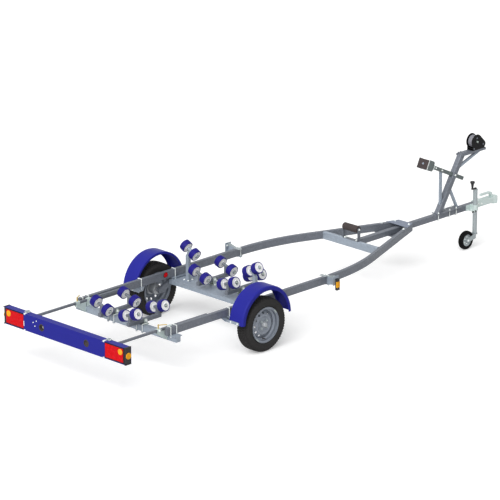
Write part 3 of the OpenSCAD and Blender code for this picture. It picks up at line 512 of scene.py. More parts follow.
# %% [markdown]
# ## Geometry trees
# Nuts and bolts, tread blocks, roller ribs, weld beads and lens prisms all repeat. Each kind is one
# geometry tree with named sizes: it sets a small shape on points, along a ring or along a path, then
# makes the instances real and gives them their material. The evaluated result becomes a plain mesh.

# %% Tree helpers
def geometry_tree(name, sizes):
    """An empty geometry tree with a base geometry, sizes as {type: names} and a material."""
    tree = bpy.data.node_groups.new(name, "GeometryNodeTree")
    wanted = [("Geometry", "Geometry"), ("Material", "Finish")]
    wanted += [(kind, label) for kind, labels in sizes.items() for label in labels]
    for kind, label in wanted:
        tree.interface.new_socket(label, in_out="INPUT", socket_type="NodeSocket" + kind)
    tree.interface.new_socket("Geometry", in_out="OUTPUT", socket_type="NodeSocketGeometry")
    return tree, tree.nodes.new("NodeGroupInput").outputs


def vector(tree, x, y, z):
    """Three values as one vector."""
    return make(tree, "ShaderNodeCombineXYZ", {"X": x, "Y": y, "Z": z})


def turn_by(tree, x, y, z):
    """Three angles as one rotation."""
    return make(tree, "FunctionNodeEulerToRotation", {0: vector(tree, x, y, z)})


def square_cone(tree, top):
    """A cone of four sides that stands on a square of width 1 along the axes, one high."""
    cone = make(tree, "GeometryNodeMeshCone", {
        "Vertices": 4, "Radius Bottom": math.sqrt(0.5), "Radius Top": top, "Depth": 1.0})
    return make(tree, "GeometryNodeTransform", {
        "Geometry": cone, "Rotation": turn_by(tree, 0.0, 0.0, math.pi / 4)})


def close_tree(tree, sizes, parts):
    """Join the parts, make instances real, set the material and end the tree."""
    joined = node(tree, "GeometryNodeJoinGeometry")
    for part in parts:
        tree.links.new(part, joined.inputs[0])
    real = make(tree, "GeometryNodeRealizeInstances", {"Geometry": joined.outputs[0]})
    painted = make(tree, "GeometryNodeSetMaterial", {"Geometry": real, "Material": sizes["Finish"]})
    node(tree, "NodeGroupOutput", {0: painted})
    return tree


def grow(name, base, layers):
    """The plain mesh that one or more geometry trees make of a base mesh. Layers: (tree, sizes)."""
    carrier = bpy.data.objects.new(name, base)
    scene.collection.objects.link(carrier)
    for tree, sizes in layers:
        modifier = carrier.modifiers.new(tree.name, "NODES")
        modifier.node_group = tree
        for item in tree.interface.items_tree:
            if item.in_out == "INPUT" and item.name in sizes:
                modifier[item.identifier] = sizes[item.name]
    mesh = bpy.data.meshes.new_from_object(carrier.evaluated_get(bpy.context.evaluated_depsgraph_get()))
    carrier.modifiers.clear()
    bpy.data.objects.remove(carrier)
    mesh.name = name
    return mesh


# %% Tree of nuts and bolts
def fastener_tree():
    """A washer, a hexagon with a turned crown, and a stud, on every point along its aim."""
    tree, sizes = geometry_tree("hex_fasteners", {"Float": (
        "Across Flats", "Head Height", "Washer Radius", "Washer Height", "Stud Radius", "Stud Length")})
    flats, head, washer = sizes["Across Flats"], sizes["Head Height"], sizes["Washer Height"]
    corner = calc(tree, "DIVIDE", flats, math.sqrt(3))
    top = calc(tree, "ADD", washer, head)
    # Columns: sides, lower radius, upper radius, height, foot
    tiers = [
        (20, sizes["Washer Radius"], sizes["Washer Radius"], washer, 0.0),
        (6, corner, corner, head, washer),
        (16, calc(tree, "MULTIPLY", flats, 0.48), calc(tree, "MULTIPLY", flats, 0.38),
         calc(tree, "MULTIPLY", head, 0.14), top),
        (12, sizes["Stud Radius"], calc(tree, "MULTIPLY", sizes["Stud Radius"], 0.85),
         sizes["Stud Length"], top)]
    stack = node(tree, "GeometryNodeJoinGeometry")
    for sides, lower, upper, height, foot in tiers:
        cone = make(tree, "GeometryNodeMeshCone", {
            "Vertices": sides, "Radius Bottom": lower, "Radius Top": upper, "Depth": height})
        raised = make(tree, "GeometryNodeTransform", {
            "Geometry": cone, "Translation": vector(tree, 0.0, 0.0, foot)})
        tree.links.new(raised, stack.inputs[0])
    aim = make(tree, "GeometryNodeInputNamedAttribute", {"Name": "aim"}, data_type="FLOAT_VECTOR")
    facing = make(tree, "FunctionNodeAlignRotationToVector", {"Vector": aim}, axis="Z")
    spots = make(tree, "GeometryNodeInstanceOnPoints", {
        "Points": sizes["Geometry"], "Instance": stack.outputs[0], "Rotation": facing})
    return close_tree(tree, sizes, [spots])


def seats(name, places):
    """A mesh of single points, each with the way that its fastener looks. Places: (point, aim)."""
    mesh = bpy.data.meshes.new(name)
    mesh.from_pydata([point for point, aim in places], [], [])
    aims = mesh.attributes.new("aim", "FLOAT_VECTOR", "POINT")
    for value, (point, aim) in zip(aims.data, places):
        value.vector = aim
    return mesh


fasteners = fastener_tree()
least_tier = 0.0005


def add_fasteners(name, places, body, flats, head, washer=1.0, stud=0.0, look="bolt_zinc"):
    """Nuts or bolt heads on places. Washer is its radius over the flats' half, stud a length."""
    mesh = grow(name, seats(name + "_seats", places), [(fasteners, {
        "Across Flats": flats, "Head Height": head, "Washer Radius": max(washer, 0.9) * flats / 2,
        "Washer Height": 0.14 * flats if washer > 1 else least_tier, "Stud Radius": 0.31 * flats,
        "Stud Length": max(stud, least_tier), "Finish": finishes[look]})])
    return add_mesh(name, mesh, body)


print("tree:", fasteners.name, "with", len(fasteners.nodes), "nodes")

# %% Trees of rings, beads and prisms
def ring_tree():
    """Tapered blocks round the X axis, joined to the base geometry."""
    tree, sizes = geometry_tree("ring_of_blocks", {"Int": ("Count",), "Float": (
        "Radius", "Along", "Block Width", "Block Length", "Block Height", "Skew", "Lean", "Start")})
    sized = make(tree, "GeometryNodeTransform", {
        "Geometry": square_cone(tree, 0.63), "Rotation": turn_by(tree, 0.0, 0.0, sizes["Skew"]),
        "Scale": vector(tree, sizes["Block Width"], sizes["Block Length"], sizes["Block Height"])})
    placed = make(tree, "GeometryNodeTransform", {
        "Geometry": sized, "Rotation": turn_by(tree, 0.0, sizes["Lean"], 0.0),
        "Translation": vector(tree, sizes["Along"], 0.0, sizes["Radius"])})
    points = make(tree, "GeometryNodeMeshLine", {"Count": sizes["Count"], "Offset": (0, 0, 0)})
    share = calc(tree, "DIVIDE", make(tree, "GeometryNodeInputIndex"), sizes["Count"])
    angle = calc(tree, "MULTIPLY_ADD", share, 2 * math.pi, sizes["Start"])
    spots = make(tree, "GeometryNodeInstanceOnPoints", {
        "Points": points, "Instance": placed, "Rotation": turn_by(tree, angle, 0.0, 0.0)})
    return close_tree(tree, sizes, [sizes["Geometry"], spots])


def bead_tree():
    """Weld ripples: squashed beads that overlap along the edges of the base geometry."""
    tree, sizes = geometry_tree("weld_beads", {"Float": ("Bead Radius", "Spacing")})
    curve = make(tree, "GeometryNodeMeshToCurve", {"Mesh": sizes["Geometry"]})
    run = node(tree, "GeometryNodeCurveToPoints", {
        "Curve": curve, "Length": sizes["Spacing"]}, mode="LENGTH").outputs
    bead = make(tree, "GeometryNodeMeshIcoSphere", {"Radius": 1.0, "Subdivisions": 2})
    spots = make(tree, "GeometryNodeInstanceOnPoints", {
        "Points": run["Points"], "Instance": bead, "Rotation": run["Rotation"],
        "Scale": vector(tree, sizes["Bead Radius"], sizes["Bead Radius"], sizes["Spacing"])})
    return close_tree(tree, sizes, [spots])


def prism_tree():
    """Low pyramids in rows and columns over a flat lens, clear of a round lamp in it."""
    tree, sizes = geometry_tree("lens_prisms", {
        "Float": ("Width", "Height", "Prism Width", "Prism Depth", "Clear Radius"),
        "Int": ("Columns", "Rows"), "Vector": ("Clear Centre",)})
    field = make(tree, "GeometryNodeMeshGrid", {
        "Size X": sizes["Width"], "Size Y": sizes["Height"],
        "Vertices X": sizes["Columns"], "Vertices Y": sizes["Rows"]})
    apart = node(tree, "ShaderNodeVectorMath", {
        0: make(tree, "GeometryNodeInputPosition"), 1: sizes["Clear Centre"]}, operation="DISTANCE")
    near = calc(tree, "LESS_THAN", apart.outputs["Value"], sizes["Clear Radius"])
    kept = make(tree, "GeometryNodeDeleteGeometry", {"Geometry": field, "Selection": near}, domain="POINT")
    spots = make(tree, "GeometryNodeInstanceOnPoints", {
        "Points": kept, "Instance": square_cone(tree, 0.12),
        "Scale": vector(tree, sizes["Prism Width"], sizes["Prism Width"], sizes["Prism Depth"])})
    return close_tree(tree, sizes, [spots])


rings = ring_tree()
beads = bead_tree()
prisms = prism_tree()
print("trees:", rings.name, beads.name, prisms.name)

# %% [markdown]
# ## Road tyres
# A trailer tyre has a stiff carcass with moulded rings on its wall, and a tread of blocks parted by
# grooves. The carcass is one turned profile that stays inside the plain tyre, and the tread is rows
# of blocks set on it by the ring tree, so the tyre's size doesn't change.

# %% Tyres
tyre_low, tyre_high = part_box("tyre_right")
tyre_r = (tyre_high.z - tyre_low.z) / 2
tyre_half = (tyre_high.x - tyre_low.x) / 2
tread_depth = 0.007
tread_floor = tyre_r - tread_depth
tread_count = 60
bead_r = 0.1653
# Columns: radius, distance from the centre plane; tread, shoulder, raised ring, wall, rim strip, bead
tyre_wall = [
    (tread_floor, 0.0), (tread_floor, 0.030), (tread_floor - 0.001, 0.052), (tread_floor - 0.0025, 0.060),
    (0.2560, 0.0712), (0.2480, 0.0752), (0.2440, 0.0760), (0.2430, tyre_half), (0.2400, tyre_half),
    (0.2390, 0.0762), (0.2250, 0.0758), (0.2120, 0.0738), (0.2050, 0.0722), (0.2040, 0.0732),
    (0.2010, 0.0728), (0.2000, 0.0705), (0.1920, 0.0660), (0.1860, 0.0610), (0.1795, 0.0560),
    (bead_r, 0.0560), (bead_r, 0.0400), (0.1780, 0.0440), (0.1950, 0.0550), (0.2315, 0.0680),
    (0.2535, 0.0610), (0.2600, 0.0430), (0.2605, 0.0)]
tyre_loop = tyre_wall + [(radius, -along) for radius, along in reversed(tyre_wall)][1:-1]
# Columns: place along, width, length, depth under the crown, skew and lean in degrees
tread_rows = [
    (0.0, 0.0185, 0.0235, 0.0, 24, 0), (0.0225, 0.0180, 0.0225, 0.0002, -18, 1),
    (-0.0225, 0.0180, 0.0225, 0.0002, -18, -1), (0.0450, 0.0200, 0.0235, 0.0012, 6, 5),
    (-0.0450, 0.0200, 0.0235, 0.0012, 6, -5), (0.0605, 0.0120, 0.0150, 0.0060, 0, 42),
    (-0.0605, 0.0120, 0.0150, 0.0060, 0, -42)]
block_sunk = 0.001
layers = []
for i, (along, width, length, drop, skew, lean) in enumerate(tread_rows):
    layers.append((rings, {
        "Count": tread_count, "Radius": tread_floor - drop - block_sunk, "Along": along,
        "Block Width": width, "Block Length": length, "Block Height": tread_depth + block_sunk,
        "Skew": math.radians(skew), "Lean": math.radians(lean), "Start": 0.05 * i,
        "Finish": finishes["road_tyre"]}))
for side in ("left", "right"):
    carcass = join("carcass", [turned(tyre_loop, (0, 0, 0), RIGHT, 96, closed=True)])
    tyre_mesh = grow("tread_" + side, carcass, layers)
    tyre_mesh.transform(Matrix.Translation(middle("tyre_" + side)))
    add_mesh("treaded_tyre_" + side, tyre_mesh, "wheel_" + side, ["tyre_" + side])
print("tyres: radius", round(tyre_r, 4), "with", len(tread_rows) * tread_count, "tread blocks each")

# %% [markdown]
# ## Wheel fittings
# Four bolts hold each rim to its hub, a rubber valve stands in the rim, and two clip-on weights
# balance it. They turn with the wheel, so they ride on the wheel's body.

# %% Wheel bolts, valves and weights
bolt_ring, bolt_out = 0.049, 0.034
valve_ring, valve_out, valve_tilt = 0.1475, 0.020, 0.12
valve_profile = [
    (0.0, 0.0), (0.0065, 0.0), (0.0062, 0.012), (0.0042, 0.015), (0.0042, 0.026), (0.0048, 0.027),
    (0.0048, 0.036), (0.0036, 0.038), (0.0, 0.038)]
weight_ring, weight_out, weight_step = 0.1735, 0.064, 0.05
weight_half = Vector((0.004, 0.0045, 0.0045))
for side, s in (("left", -1), ("right", 1)):
    centre, body = middle("tyre_" + side), "wheel_" + side
    places = bolt_circle(centre, s, 4, bolt_ring, bolt_out)
    add_fasteners("wheel_bolts_" + side, places, body, 0.019, 0.013, 1.35, 0.0, "pale_plate")
    valve_foot = centre + Vector((s * valve_out, 0.0, -valve_ring))
    valve = turned(valve_profile, valve_foot, (s, 0, valve_tilt), 20)
    add_piece("valve_" + side, [valve], body, "dark_rubber")
    weights = []
    for start in (0.6, 3.9):
        for step in range(5):
            spot = centre + around(start + weight_step * step) * weight_ring + s * weight_out * RIGHT
            weights.append(block(spot - weight_half, spot + weight_half))
    add_piece("balance_weights_" + side, weights, body, "zinc_plate", "grey_zinc")
print("wheel fittings on both wheels")

# %% [markdown]
# ## Hull rollers
# A hull roller is a soft blue tyre on a white plastic hub with ribbed faces. The frame holds both in
# one node, which can carry only one material, so two pieces stand for it: the tyres and the hubs of
# each pair. Both are turned about the pair's own tilted shaft, taken from its joint.

# %% Rollers
roller_half = 0.0325
roller_gap, high_roller_gap = 0.168, 0.135
shaft_past = 0.005
rib_face = 0.0285
# Columns: radius, distance from the roller's middle
roller_tread = [
    (0.0503, -0.0300), (0.0565, -0.0305), (0.0585, -0.0290), (0.0598, -0.0245), (0.0600, -0.0200),
    (0.0600, -0.0110), (0.0592, -0.0102), (0.0592, -0.0088), (0.0600, -0.0080)]
roller_hub = [
    (0.0101, -roller_half), (0.0190, -roller_half), (0.0205, -0.0312), (0.0225, -0.0292), (0.0385, -0.0290),
    (0.0412, -0.0300), (0.0427, -0.0308), (0.0486, -0.0308), (0.0500, -0.0296)]


def pair(half, spots, segments):
    """A roller's profile and its mirror image, turned at each of the spots."""
    profile = half + [(radius, -along) for radius, along in reversed(half)]
    return [turned(profile, (spot, 0, 0), RIGHT, segments, closed=True) for spot in spots]


hub_ribs = {"Count": 8, "Radius": 0.0200, "Block Width": 0.0050, "Block Length": 0.0036,
            "Block Height": 0.0215, "Skew": 0.0, "Lean": 0.0, "Start": 0.0, "Finish": finishes["hub_white"]}
shaft_nuts = {}
for name in sorted(frame["nodes"]):
    if not name.startswith("rollers_"):
        continue
    joint = joints[name + "_spin"]
    shaft, axis = Vector(joint["pos_m"]), Vector(joint["axis"]).normalized()
    spots = span(0.0, (high_roller_gap if "high" in name else roller_gap) / 2)
    rib_spots = [end for spot in spots for end in span(spot, rib_face)]
    layers = [(rings, {**hub_ribs, "Along": along}) for along in rib_spots]
    tread_mesh = join(name + "_tyres", pair(roller_tread, spots, 56))
    tread_mesh.materials.append(finishes["roller_plastic"])
    hub_mesh = grow(name + "_hubs", join(name + "_cores", pair(roller_hub, spots, 48)), layers)
    for mesh in (tread_mesh, hub_mesh):
        mesh.transform(about(shaft, axis))
    add_mesh(name + "_tyres", tread_mesh, name, [name])
    add_mesh(name + "_hubs", hub_mesh, name)
    reach = spots[1] + roller_half + shaft_past
    for s in (-1, 1):
        shaft_nuts.setdefault(joint["parent"], []).append((shaft + axis * s * reach, axis * s))
for body, places in shaft_nuts.items():
    add_fasteners("shaft_nuts_" + body, places, body, 0.022, 0.0085, 0.9, 0.002, "grey_zinc")

# %% [markdown]
# ## Clamps
# U-bolts hold the cross-members, stays and brackets to the rails and the winch post to the drawbar.
# Each leg ends in a nut and a washer on its clamp plate. Two more U-bars, each with a strip below,
# clamp each rear rocker bracket round its cross-member.

# %% U-bolt nuts
rail_x, rail_half = 0.618, 0.020
rail_end, rail_low, rail_top = -1.150, 0.399, 0.479
clamp_under, post_plate_top = 0.391, 0.467
rail_leg, drawbar_leg = 0.0243, 0.0343
rail_clamps = [-1.109, -1.031, -0.317, 0.150, 0.345, 1.075]
drawbar_clamps = [3.366, 3.538, 3.640]
places = both_places([(at(x, y, clamp_under), -UP) for y in rail_clamps for x in span(rail_x, rail_leg)])
places += [(at(x, y, post_plate_top), UP) for y in drawbar_clamps for x in span(0.0, drawbar_leg)]
add_fasteners("u_bolt_nuts", places, "frame", 0.013, 0.0075, 1.5, 0.008)
print("u-bolt nuts:", len(places))

# %% U-bars round the rear cross-member
rocker_x, u_bar_half = 0.200, 0.040
member_rear, member_front, member_low, member_top = -1.100, -1.040, 0.337, 0.405
bar_r, bar_play, bar_below, bar_bend = 0.004, 0.0003, 0.018, 0.007
strip_t, strip_half, strip_past = 0.005, 0.012, 0.016
bar_rear, bar_front = member_rear - bar_r - bar_play, member_front + bar_r + bar_play
bar_foot, bar_top = member_low - bar_below, member_top + bar_r
bars, strips, places = [], [], []
for x in span(rocker_x, u_bar_half):
    corners = [at(x, bar_rear, bar_foot), at(x, bar_rear, bar_top), at(x, bar_front, bar_top),
               at(x, bar_front, bar_foot)]
    bars.append(bar(bent(corners, bar_bend), bar_r))
    strips.append(brick(span(x, strip_half), (member_rear - strip_past, member_front + strip_past),
                        (member_low - strip_t, member_low)))
    places += [(at(x, y, member_low - strip_t), -UP) for y in (bar_rear, bar_front)]
add_piece("rocker_u_bars", both(bars), "frame", "bright_galvanised", "bolt_zinc")
add_piece("rocker_clamp_strips", both(strips), "frame", "bright_galvanised")
add_fasteners("rocker_u_bar_nuts", both_places(places), "frame", 0.013, 0.0075, 1.5, 0.0)
print("u-bars round the rear cross-member:", 2 * len(bars))

# %% [markdown]
# ## Pivots, base plates and stays
# The rockers hang on through-bolts with a nut at each end, and the brackets on the axle tray, the
# tall uprights, the stays and the keel roller are bolted down.

# %% Pivot bolts and base bolts
rear_pivot, axle_pivot, pivot_z, pivot_face = -1.041, 0.2925, 0.433, 0.0265
upright_x, upright_y = 0.4688, 0.210
tray_bolt_z = 0.381
stay_face, stay_z = 0.3483, 0.358
rockers = []
for name in sorted(frame["nodes"]):
    if name.startswith("rocker_") and name != "rocker_brackets":
        x = -rocker_x if "left" in name else rocker_x
        rockers.append((name, x, rear_pivot if "rear" in name else axle_pivot))


def four(x, y, half_x, half_y):
    """The corners of a rectangle about a middle."""
    return [(cx, cy) for cx in span(x, half_x) for cy in span(y, half_y)]


places = [(at(x + s * pivot_face, y, pivot_z), s * RIGHT) for name, x, y in rockers for s in (-1, 1)]
add_fasteners("pivot_bolts", places, "frame", 0.019, 0.010, 1.3, 0.003)
spots = four(rocker_x, axle_pivot, 0.038, 0.012) + four(upright_x, upright_y, 0.029, 0.029)
places = [(at(x, y, tray_bolt_z), UP) for x, y in spots]
places += [(at(x, s * stay_face, stay_z), s * FRONT) for s in (-1, 1) for x in (0.690, 0.780)]
add_fasteners("base_bolts", both_places(places), "frame", 0.013, 0.007, 1.6, 0.0)
keel_mid = middle("keel_roller")
keel_y = keel_mid.y - axle_ground.y
keel_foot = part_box("keel_bracket")[0].z + 0.006
places = [(at(0.107, keel_y, keel_mid.z), RIGHT)]
places += [(at(0.080, y, keel_foot), UP) for y in span(keel_y, 0.011)]
add_fasteners("keel_bolts", both_places(places), "frame", 0.016, 0.008, 1.3, 0.002)
print("pivots, base plates and keel fork bolted")

# %% [markdown]
# ## Tube ends
# The rails, rockers and tubes are cut from square section. A pressed plate closes each end, with a
# small step back from the wall all round, so the cut edge of the tube still shows.

# %% End plates
wall = 0.0025
rail_plate = brick(span(rail_x, rail_half - wall), (rail_end - 0.0015, rail_end + 0.012),
                   (rail_low + wall, rail_top - wall))
add_piece("rail_end_plates", both([rail_plate]), "frame", "galvanised")
member_plate = brick((0.701, 0.7055), (member_rear + 0.0005, member_front - 0.0005), (member_low, 0.392))
add_piece("member_end_plates", both([member_plate]), "frame", "bright_galvanised")
rocker_half, rocker_inside = 0.215, 0.0175
for name, x, pivot in rockers:
    ends = [(pivot + s * (rocker_half - 0.012), pivot + s * (rocker_half + 0.001)) for s in (-1, 1)]
    shapes = [brick(span(x, rocker_inside), end, span(pivot_z, rocker_inside)) for end in ends]
    add_piece(name + "_end_plates", shapes, name, "galvanised")
tube_x, tube_z, tube_front, tube_inside = 0.570, 0.458, -0.560, 0.0108
plug = brick(span(tube_x, tube_inside), (tube_front - 0.015, tube_front + 0.003), span(tube_z, tube_inside))
add_piece("tube_end_plugs", both([plug]), "light_board", "black_plastic")
print("tube ends closed")

# %% [markdown]
# ## Light board
# The blue board carries a lamp at each end. Zinc clips hold the lamps at the seams over blue strips,
# black lips cap the board's ends, and two saddles on its top fix it to the sliding tubes. Rubber
# grommets line its two holes, a plug closes the right one, and three rivets sit by the left one.

# %% Board fittings
board_rear, board_front, board_low, board_top, board_end = -1.912, -1.837, 0.355, 0.525, 0.857
seam_x, hole_x, hole_z = 0.556, 0.315, 0.440
clips, lips, screws = [], [], []
for edge, s in ((board_top, 1), (board_low, -1)):
    outer = edge + s * 0.003
    clips.append(brick(span(seam_x, 0.011), (board_rear - 0.0025, board_rear + 0.030),
                       (edge - s * 0.010, outer)))
    lips.append(brick((board_end - 0.016, board_end + 0.002), (board_rear - 0.002, board_front + 0.001),
                      (edge - s * 0.004, outer)))
    screws.append((at(seam_x, board_rear + 0.014, outer), s * UP))
add_piece("lamp_clips", both(clips), "light_board", "zinc_plate", "bolt_zinc")
strip = brick((0.5445, 0.5700), (board_rear, board_rear + 0.010), (board_low + 0.0035, board_top - 0.0035))
add_piece("lamp_seam_strips", both([strip]), "light_board", "blue_paint")
# Columns of both profiles: radius, distance ahead of the board's rear face
grommet = [(0.0285, -0.0015), (0.0355, -0.0015), (0.0365, 0.0), (0.0317, 0.0), (0.0317, 0.040),
           (0.0285, 0.040)]
stopper = [(0.0, 0.010), (0.020, 0.010), (0.0285, 0.006), (0.0288, 0.012), (0.0, 0.014)]
grommets = [turned(grommet, at(x, board_rear, hole_z), FRONT, 40, closed=True) for x in (-hole_x, hole_x)]
add_piece("hole_grommets", grommets, "light_board", "dark_rubber")
hole_plug = turned(stopper, at(hole_x, board_rear, hole_z), FRONT, 40)
add_piece("hole_plug", [hole_plug], "light_board", "dark_rubber")
add_piece("board_end_lips", both(lips), "light_board", "black_plastic")
saddle_top = board_top + 0.005
saddle = [
    brick(span(tube_x, 0.028), (board_front - 0.040, board_front + 0.002), (board_top, saddle_top)),
    brick(span(tube_x, 0.016), (board_front - 0.034, board_front),
          (board_top + 0.004, board_top + 0.016), 0.004)]
add_piece("tube_saddles", both(saddle), "light_board", "bright_galvanised", "pale_plate")
screws += [(at(x, board_front - 0.019, saddle_top), UP) for x in span(tube_x, 0.021)]
rivets = [(-0.431, 0.466), (-0.387, 0.490), (-0.407, 0.434)]
screws = both_places(screws) + [(at(x, board_rear, z), -FRONT) for x, z in rivets]
add_fasteners("board_screws", screws, "light_board", 0.009, 0.0035, 1.4)
print("board fittings:", len(screws), "screws")

# %% [markdown]
# ## Lamps
# A rear lamp is a clear red plastic lens over a black housing. Its inside is moulded in small prisms
# that break up the bulb's light, and a round amber indicator with rings sits in one corner. The
# prisms are low pyramids on the lens, kept clear of the indicator by the tree. A pale window beside
# the left lamp lets out the number plate's light, and the side markers get ribbed lenses and bolts.

# %% Lens prisms, frames and rings
lens_x, lens_z = (0.575, 0.820), (0.372, 0.508)
lens_mid_x, lens_mid_z = sum(lens_x) / 2, sum(lens_z) / 2
indicator_x, indicator_z, indicator_clear = 0.784, 0.472, 0.038
lamp_face = board_rear + 0.009
prism_pitch, prism_depth, prism_columns, prism_rows = 0.0122, 0.0014, 20, 11
out_back = Matrix(((1, 0, 0), (0, 0, -1), (0, 1, 0))).to_4x4()
for side, s in (("left", -1), ("right", 1)):
    offset = Vector((s * (indicator_x - lens_mid_x), indicator_z - lens_mid_z, 0))
    field = grow("lens_prisms_" + side, bpy.data.meshes.new("lens_anchor"), [(prisms, {
        "Width": (prism_columns - 1) * prism_pitch, "Height": (prism_rows - 1) * prism_pitch,
        "Columns": prism_columns, "Rows": prism_rows, "Prism Width": prism_pitch * 0.97,
        "Prism Depth": prism_depth, "Clear Centre": offset, "Clear Radius": indicator_clear,
        "Finish": finishes["red_lens"]})])
    field.transform(Matrix.Translation(at(s * lens_mid_x, board_rear + 0.0001, lens_mid_z)) @ out_back)
    add_mesh("lens_prisms_" + side, field, "light_board")
frame_w = 0.005
frame_y = (lamp_face - 0.006, lamp_face + 0.001)
frames = []
for inner, s in ((lens_x[0], -1), (lens_x[1], 1)):
    frames.append(brick((inner, inner + s * frame_w), frame_y, (lens_z[0] - frame_w, lens_z[1] + frame_w)))
for inner, s in ((lens_z[0], -1), (lens_z[1], 1)):
    frames.append(brick(lens_x, frame_y, (inner, inner + s * frame_w)))
add_piece("lens_frames", both(frames), "light_board", "black_plastic")
ringed = [(0.0, 0.0016)]
for i in range(5):
    ringed += [(0.004 + 0.005 * i, 0.0016), (0.0055 + 0.005 * i, 0.0006), (0.007 + 0.005 * i, 0.0006)]
ringed += [(0.0285, 0.0012), (0.0292, -0.0004), (0.0, -0.0004)]
amber = [turned(ringed, at(indicator_x, board_rear - 0.002, indicator_z), -FRONT, 40),
         turned(ringed, at(board_end + 0.006, (board_rear + board_front) / 2, 0.440), RIGHT, 40)]
add_piece("indicator_rings", both(amber), "light_board", "amber_lens")
window = brick((-0.5700, -0.5605), (board_rear - 0.0015, board_rear + 0.002), (0.398, 0.447))
add_piece("plate_light_window", [window], "light_board", "black_plastic", "hub_white")
marker_ribs = [brick((0.7855, 0.7872), (1.050, 1.086), span(0.398 + 0.010 * i, 0.001), 0.0004)
               for i in range(6)]
add_piece("marker_lens_ribs", both(marker_ribs), "frame", "amber_lens")
places = [(at(0.754, y, z), -RIGHT) for y, z in ((1.038, 0.482), (1.072, 0.440))]
add_fasteners("marker_bolts", both_places(places), "frame", 0.013, 0.007, 1.5, 0.003)
print("lamps dressed on both sides")

# %% Reflectors on the rails
disc = [(0.0, 0.006), (0.024, 0.0055), (0.0255, 0.003), (0.0255, 0.0)]
cup = [(0.0, 0.0), (0.029, 0.0), (0.029, 0.004), (0.0275, 0.006), (0.0258, 0.006), (0.0258, 0.002),
       (0.0, 0.002)]
reflector_spot = at(rail_x - rail_half, 0.017, 0.448)
add_piece("reflector_cups", both([turned(cup, reflector_spot, -RIGHT, 36)]), "frame", "black_plastic")
add_piece("reflector_discs", both([turned(disc, reflector_spot, -RIGHT, 36)]), "frame", "red_lens")
print("reflectors on the rails' inner faces")

# %% [markdown]
# ## Winch and bow stop
# The winch drum holds a wound strap and its cheeks are bolted through. The bow stop's rubber block
# sits in a channel: a pale back plate, a flange along each side with a thin near-white strip at its
# rear, a fold whose brightness is a painted highlight, and a bolt through the middle. Inner flanges
# and a collar join the channel to the bar. All this is drawn along the bar's own slope and carried
# there by one matrix.

# %% Strap and winch bolts
winch_y, winch_z, cheek_out = 3.940, 1.130, 0.040
wound = [(0.0503, -0.027), (0.0610, -0.027)]
for i in range(6):
    wound += [(0.0632, -0.024 + 0.0085 * i), (0.0638, -0.020 + 0.0085 * i), (0.0626, -0.0165 + 0.0085 * i)]
wound += [(0.0610, 0.027), (0.0503, 0.027)]
strap = turned(wound, at(0, winch_y, winch_z), RIGHT, 56, closed=True)
add_piece("winch_strap", [strap], "winch_drum", "dark_rubber", "web_grey")
cheek_bolts = [(at(cheek_out, y, z), RIGHT) for y, z in ((3.941, 1.168), (3.896, 1.060), (4.040, 1.086))]
add_fasteners("winch_bolts", both_places(cheek_bolts), "frame", 0.013, 0.006, 1.4, 0.002, "galvanised")
shaft_ends = both_places([(at(0.0445, winch_y, winch_z), RIGHT)])
add_fasteners("winch_shaft_nuts", shaft_ends, "winch_drum", 0.018, 0.008, 1.2, 0.001, "grey_zinc")
platform = both_places([(at(0.030, y, 1.040), UP) for y in (3.735, 3.765)])
add_fasteners("platform_bolts", platform, "frame", 0.013, 0.007, 1.4, 0.0, "galvanised")
print("winch dressed")

# %% Bow stop
bow_slope = math.radians(-25.5)
bow_matrix = Matrix.Translation(at(0, 3.6216, 0.8308)) @ Matrix.Rotation(bow_slope, 4, "X")
bow_turn = bow_matrix.to_3x3()


def add_to_bow(name, shapes, slot, look=None):
    """Shapes drawn along the bow stop's bar, carried to its slope as one piece."""
    carried = [([bow_matrix @ Vector(point) for point in points], faces) for points, faces in shapes]
    return add_piece(name, carried, "frame", slot, look)


def bow_place(x, y, aim):
    """A fastener's place on the bow stop's bar."""
    return bow_matrix @ Vector((x, y, 0)), bow_turn @ aim


back_plate = block((-0.074, -0.4400, -0.054), (0.074, -0.4368, 0.054), 0.001)
collar = [block((-0.026, -0.395, -0.026), (0.026, -0.350, 0.026), 0.003),
          block((-0.031, -0.384, -0.016), (0.031, -0.361, 0.016), 0.002)]
flanges = [block((0.0455, -0.4365, -0.046), (0.0495, -0.398, 0.046), 0.001),
           block((0.0704, -0.516, -0.054), (0.0740, -0.4366, 0.054), 0.001)]
# A thin strip at the rear of each outer flange, in the near-white bolt finish: a painted highlight along
# that edge.
fold = block((0.0704, -0.5205, -0.054), (0.0750, -0.515, 0.054), 0.001)
bar_plug = block((-0.0175, 0.145, -0.0175), (0.0175, 0.1565, 0.0175), 0.002)
add_to_bow("bow_back_plate", [back_plate], "zinc_plate", "pale_plate")
add_to_bow("bow_collar", collar, "zinc_plate")
add_to_bow("bow_channel_flanges", both(flanges), "galvanised", "bow_zinc")
add_to_bow("bow_channel_folds", both([fold]), "zinc_plate", "bolt_zinc")
add_to_bow("bow_bar_plug", [bar_plug], "zinc_plate")
bar_bolts = [(0.031, -0.3725), (0.020, -0.322), (0.020, -0.216), (0.030, 0.0)]
places = both_places([bow_place(x, y, RIGHT) for x, y in bar_bolts])
add_fasteners("bow_bolts", places, "frame", 0.014, 0.007, 1.5, 0.002)
block_bolt = [bow_place(0, -0.518, -FRONT)]
add_fasteners("bow_block_bolt", block_bolt, "frame", 0.016, 0.006, 1.5, 0.0, "bright_galvanised")
print("bow stop dressed")
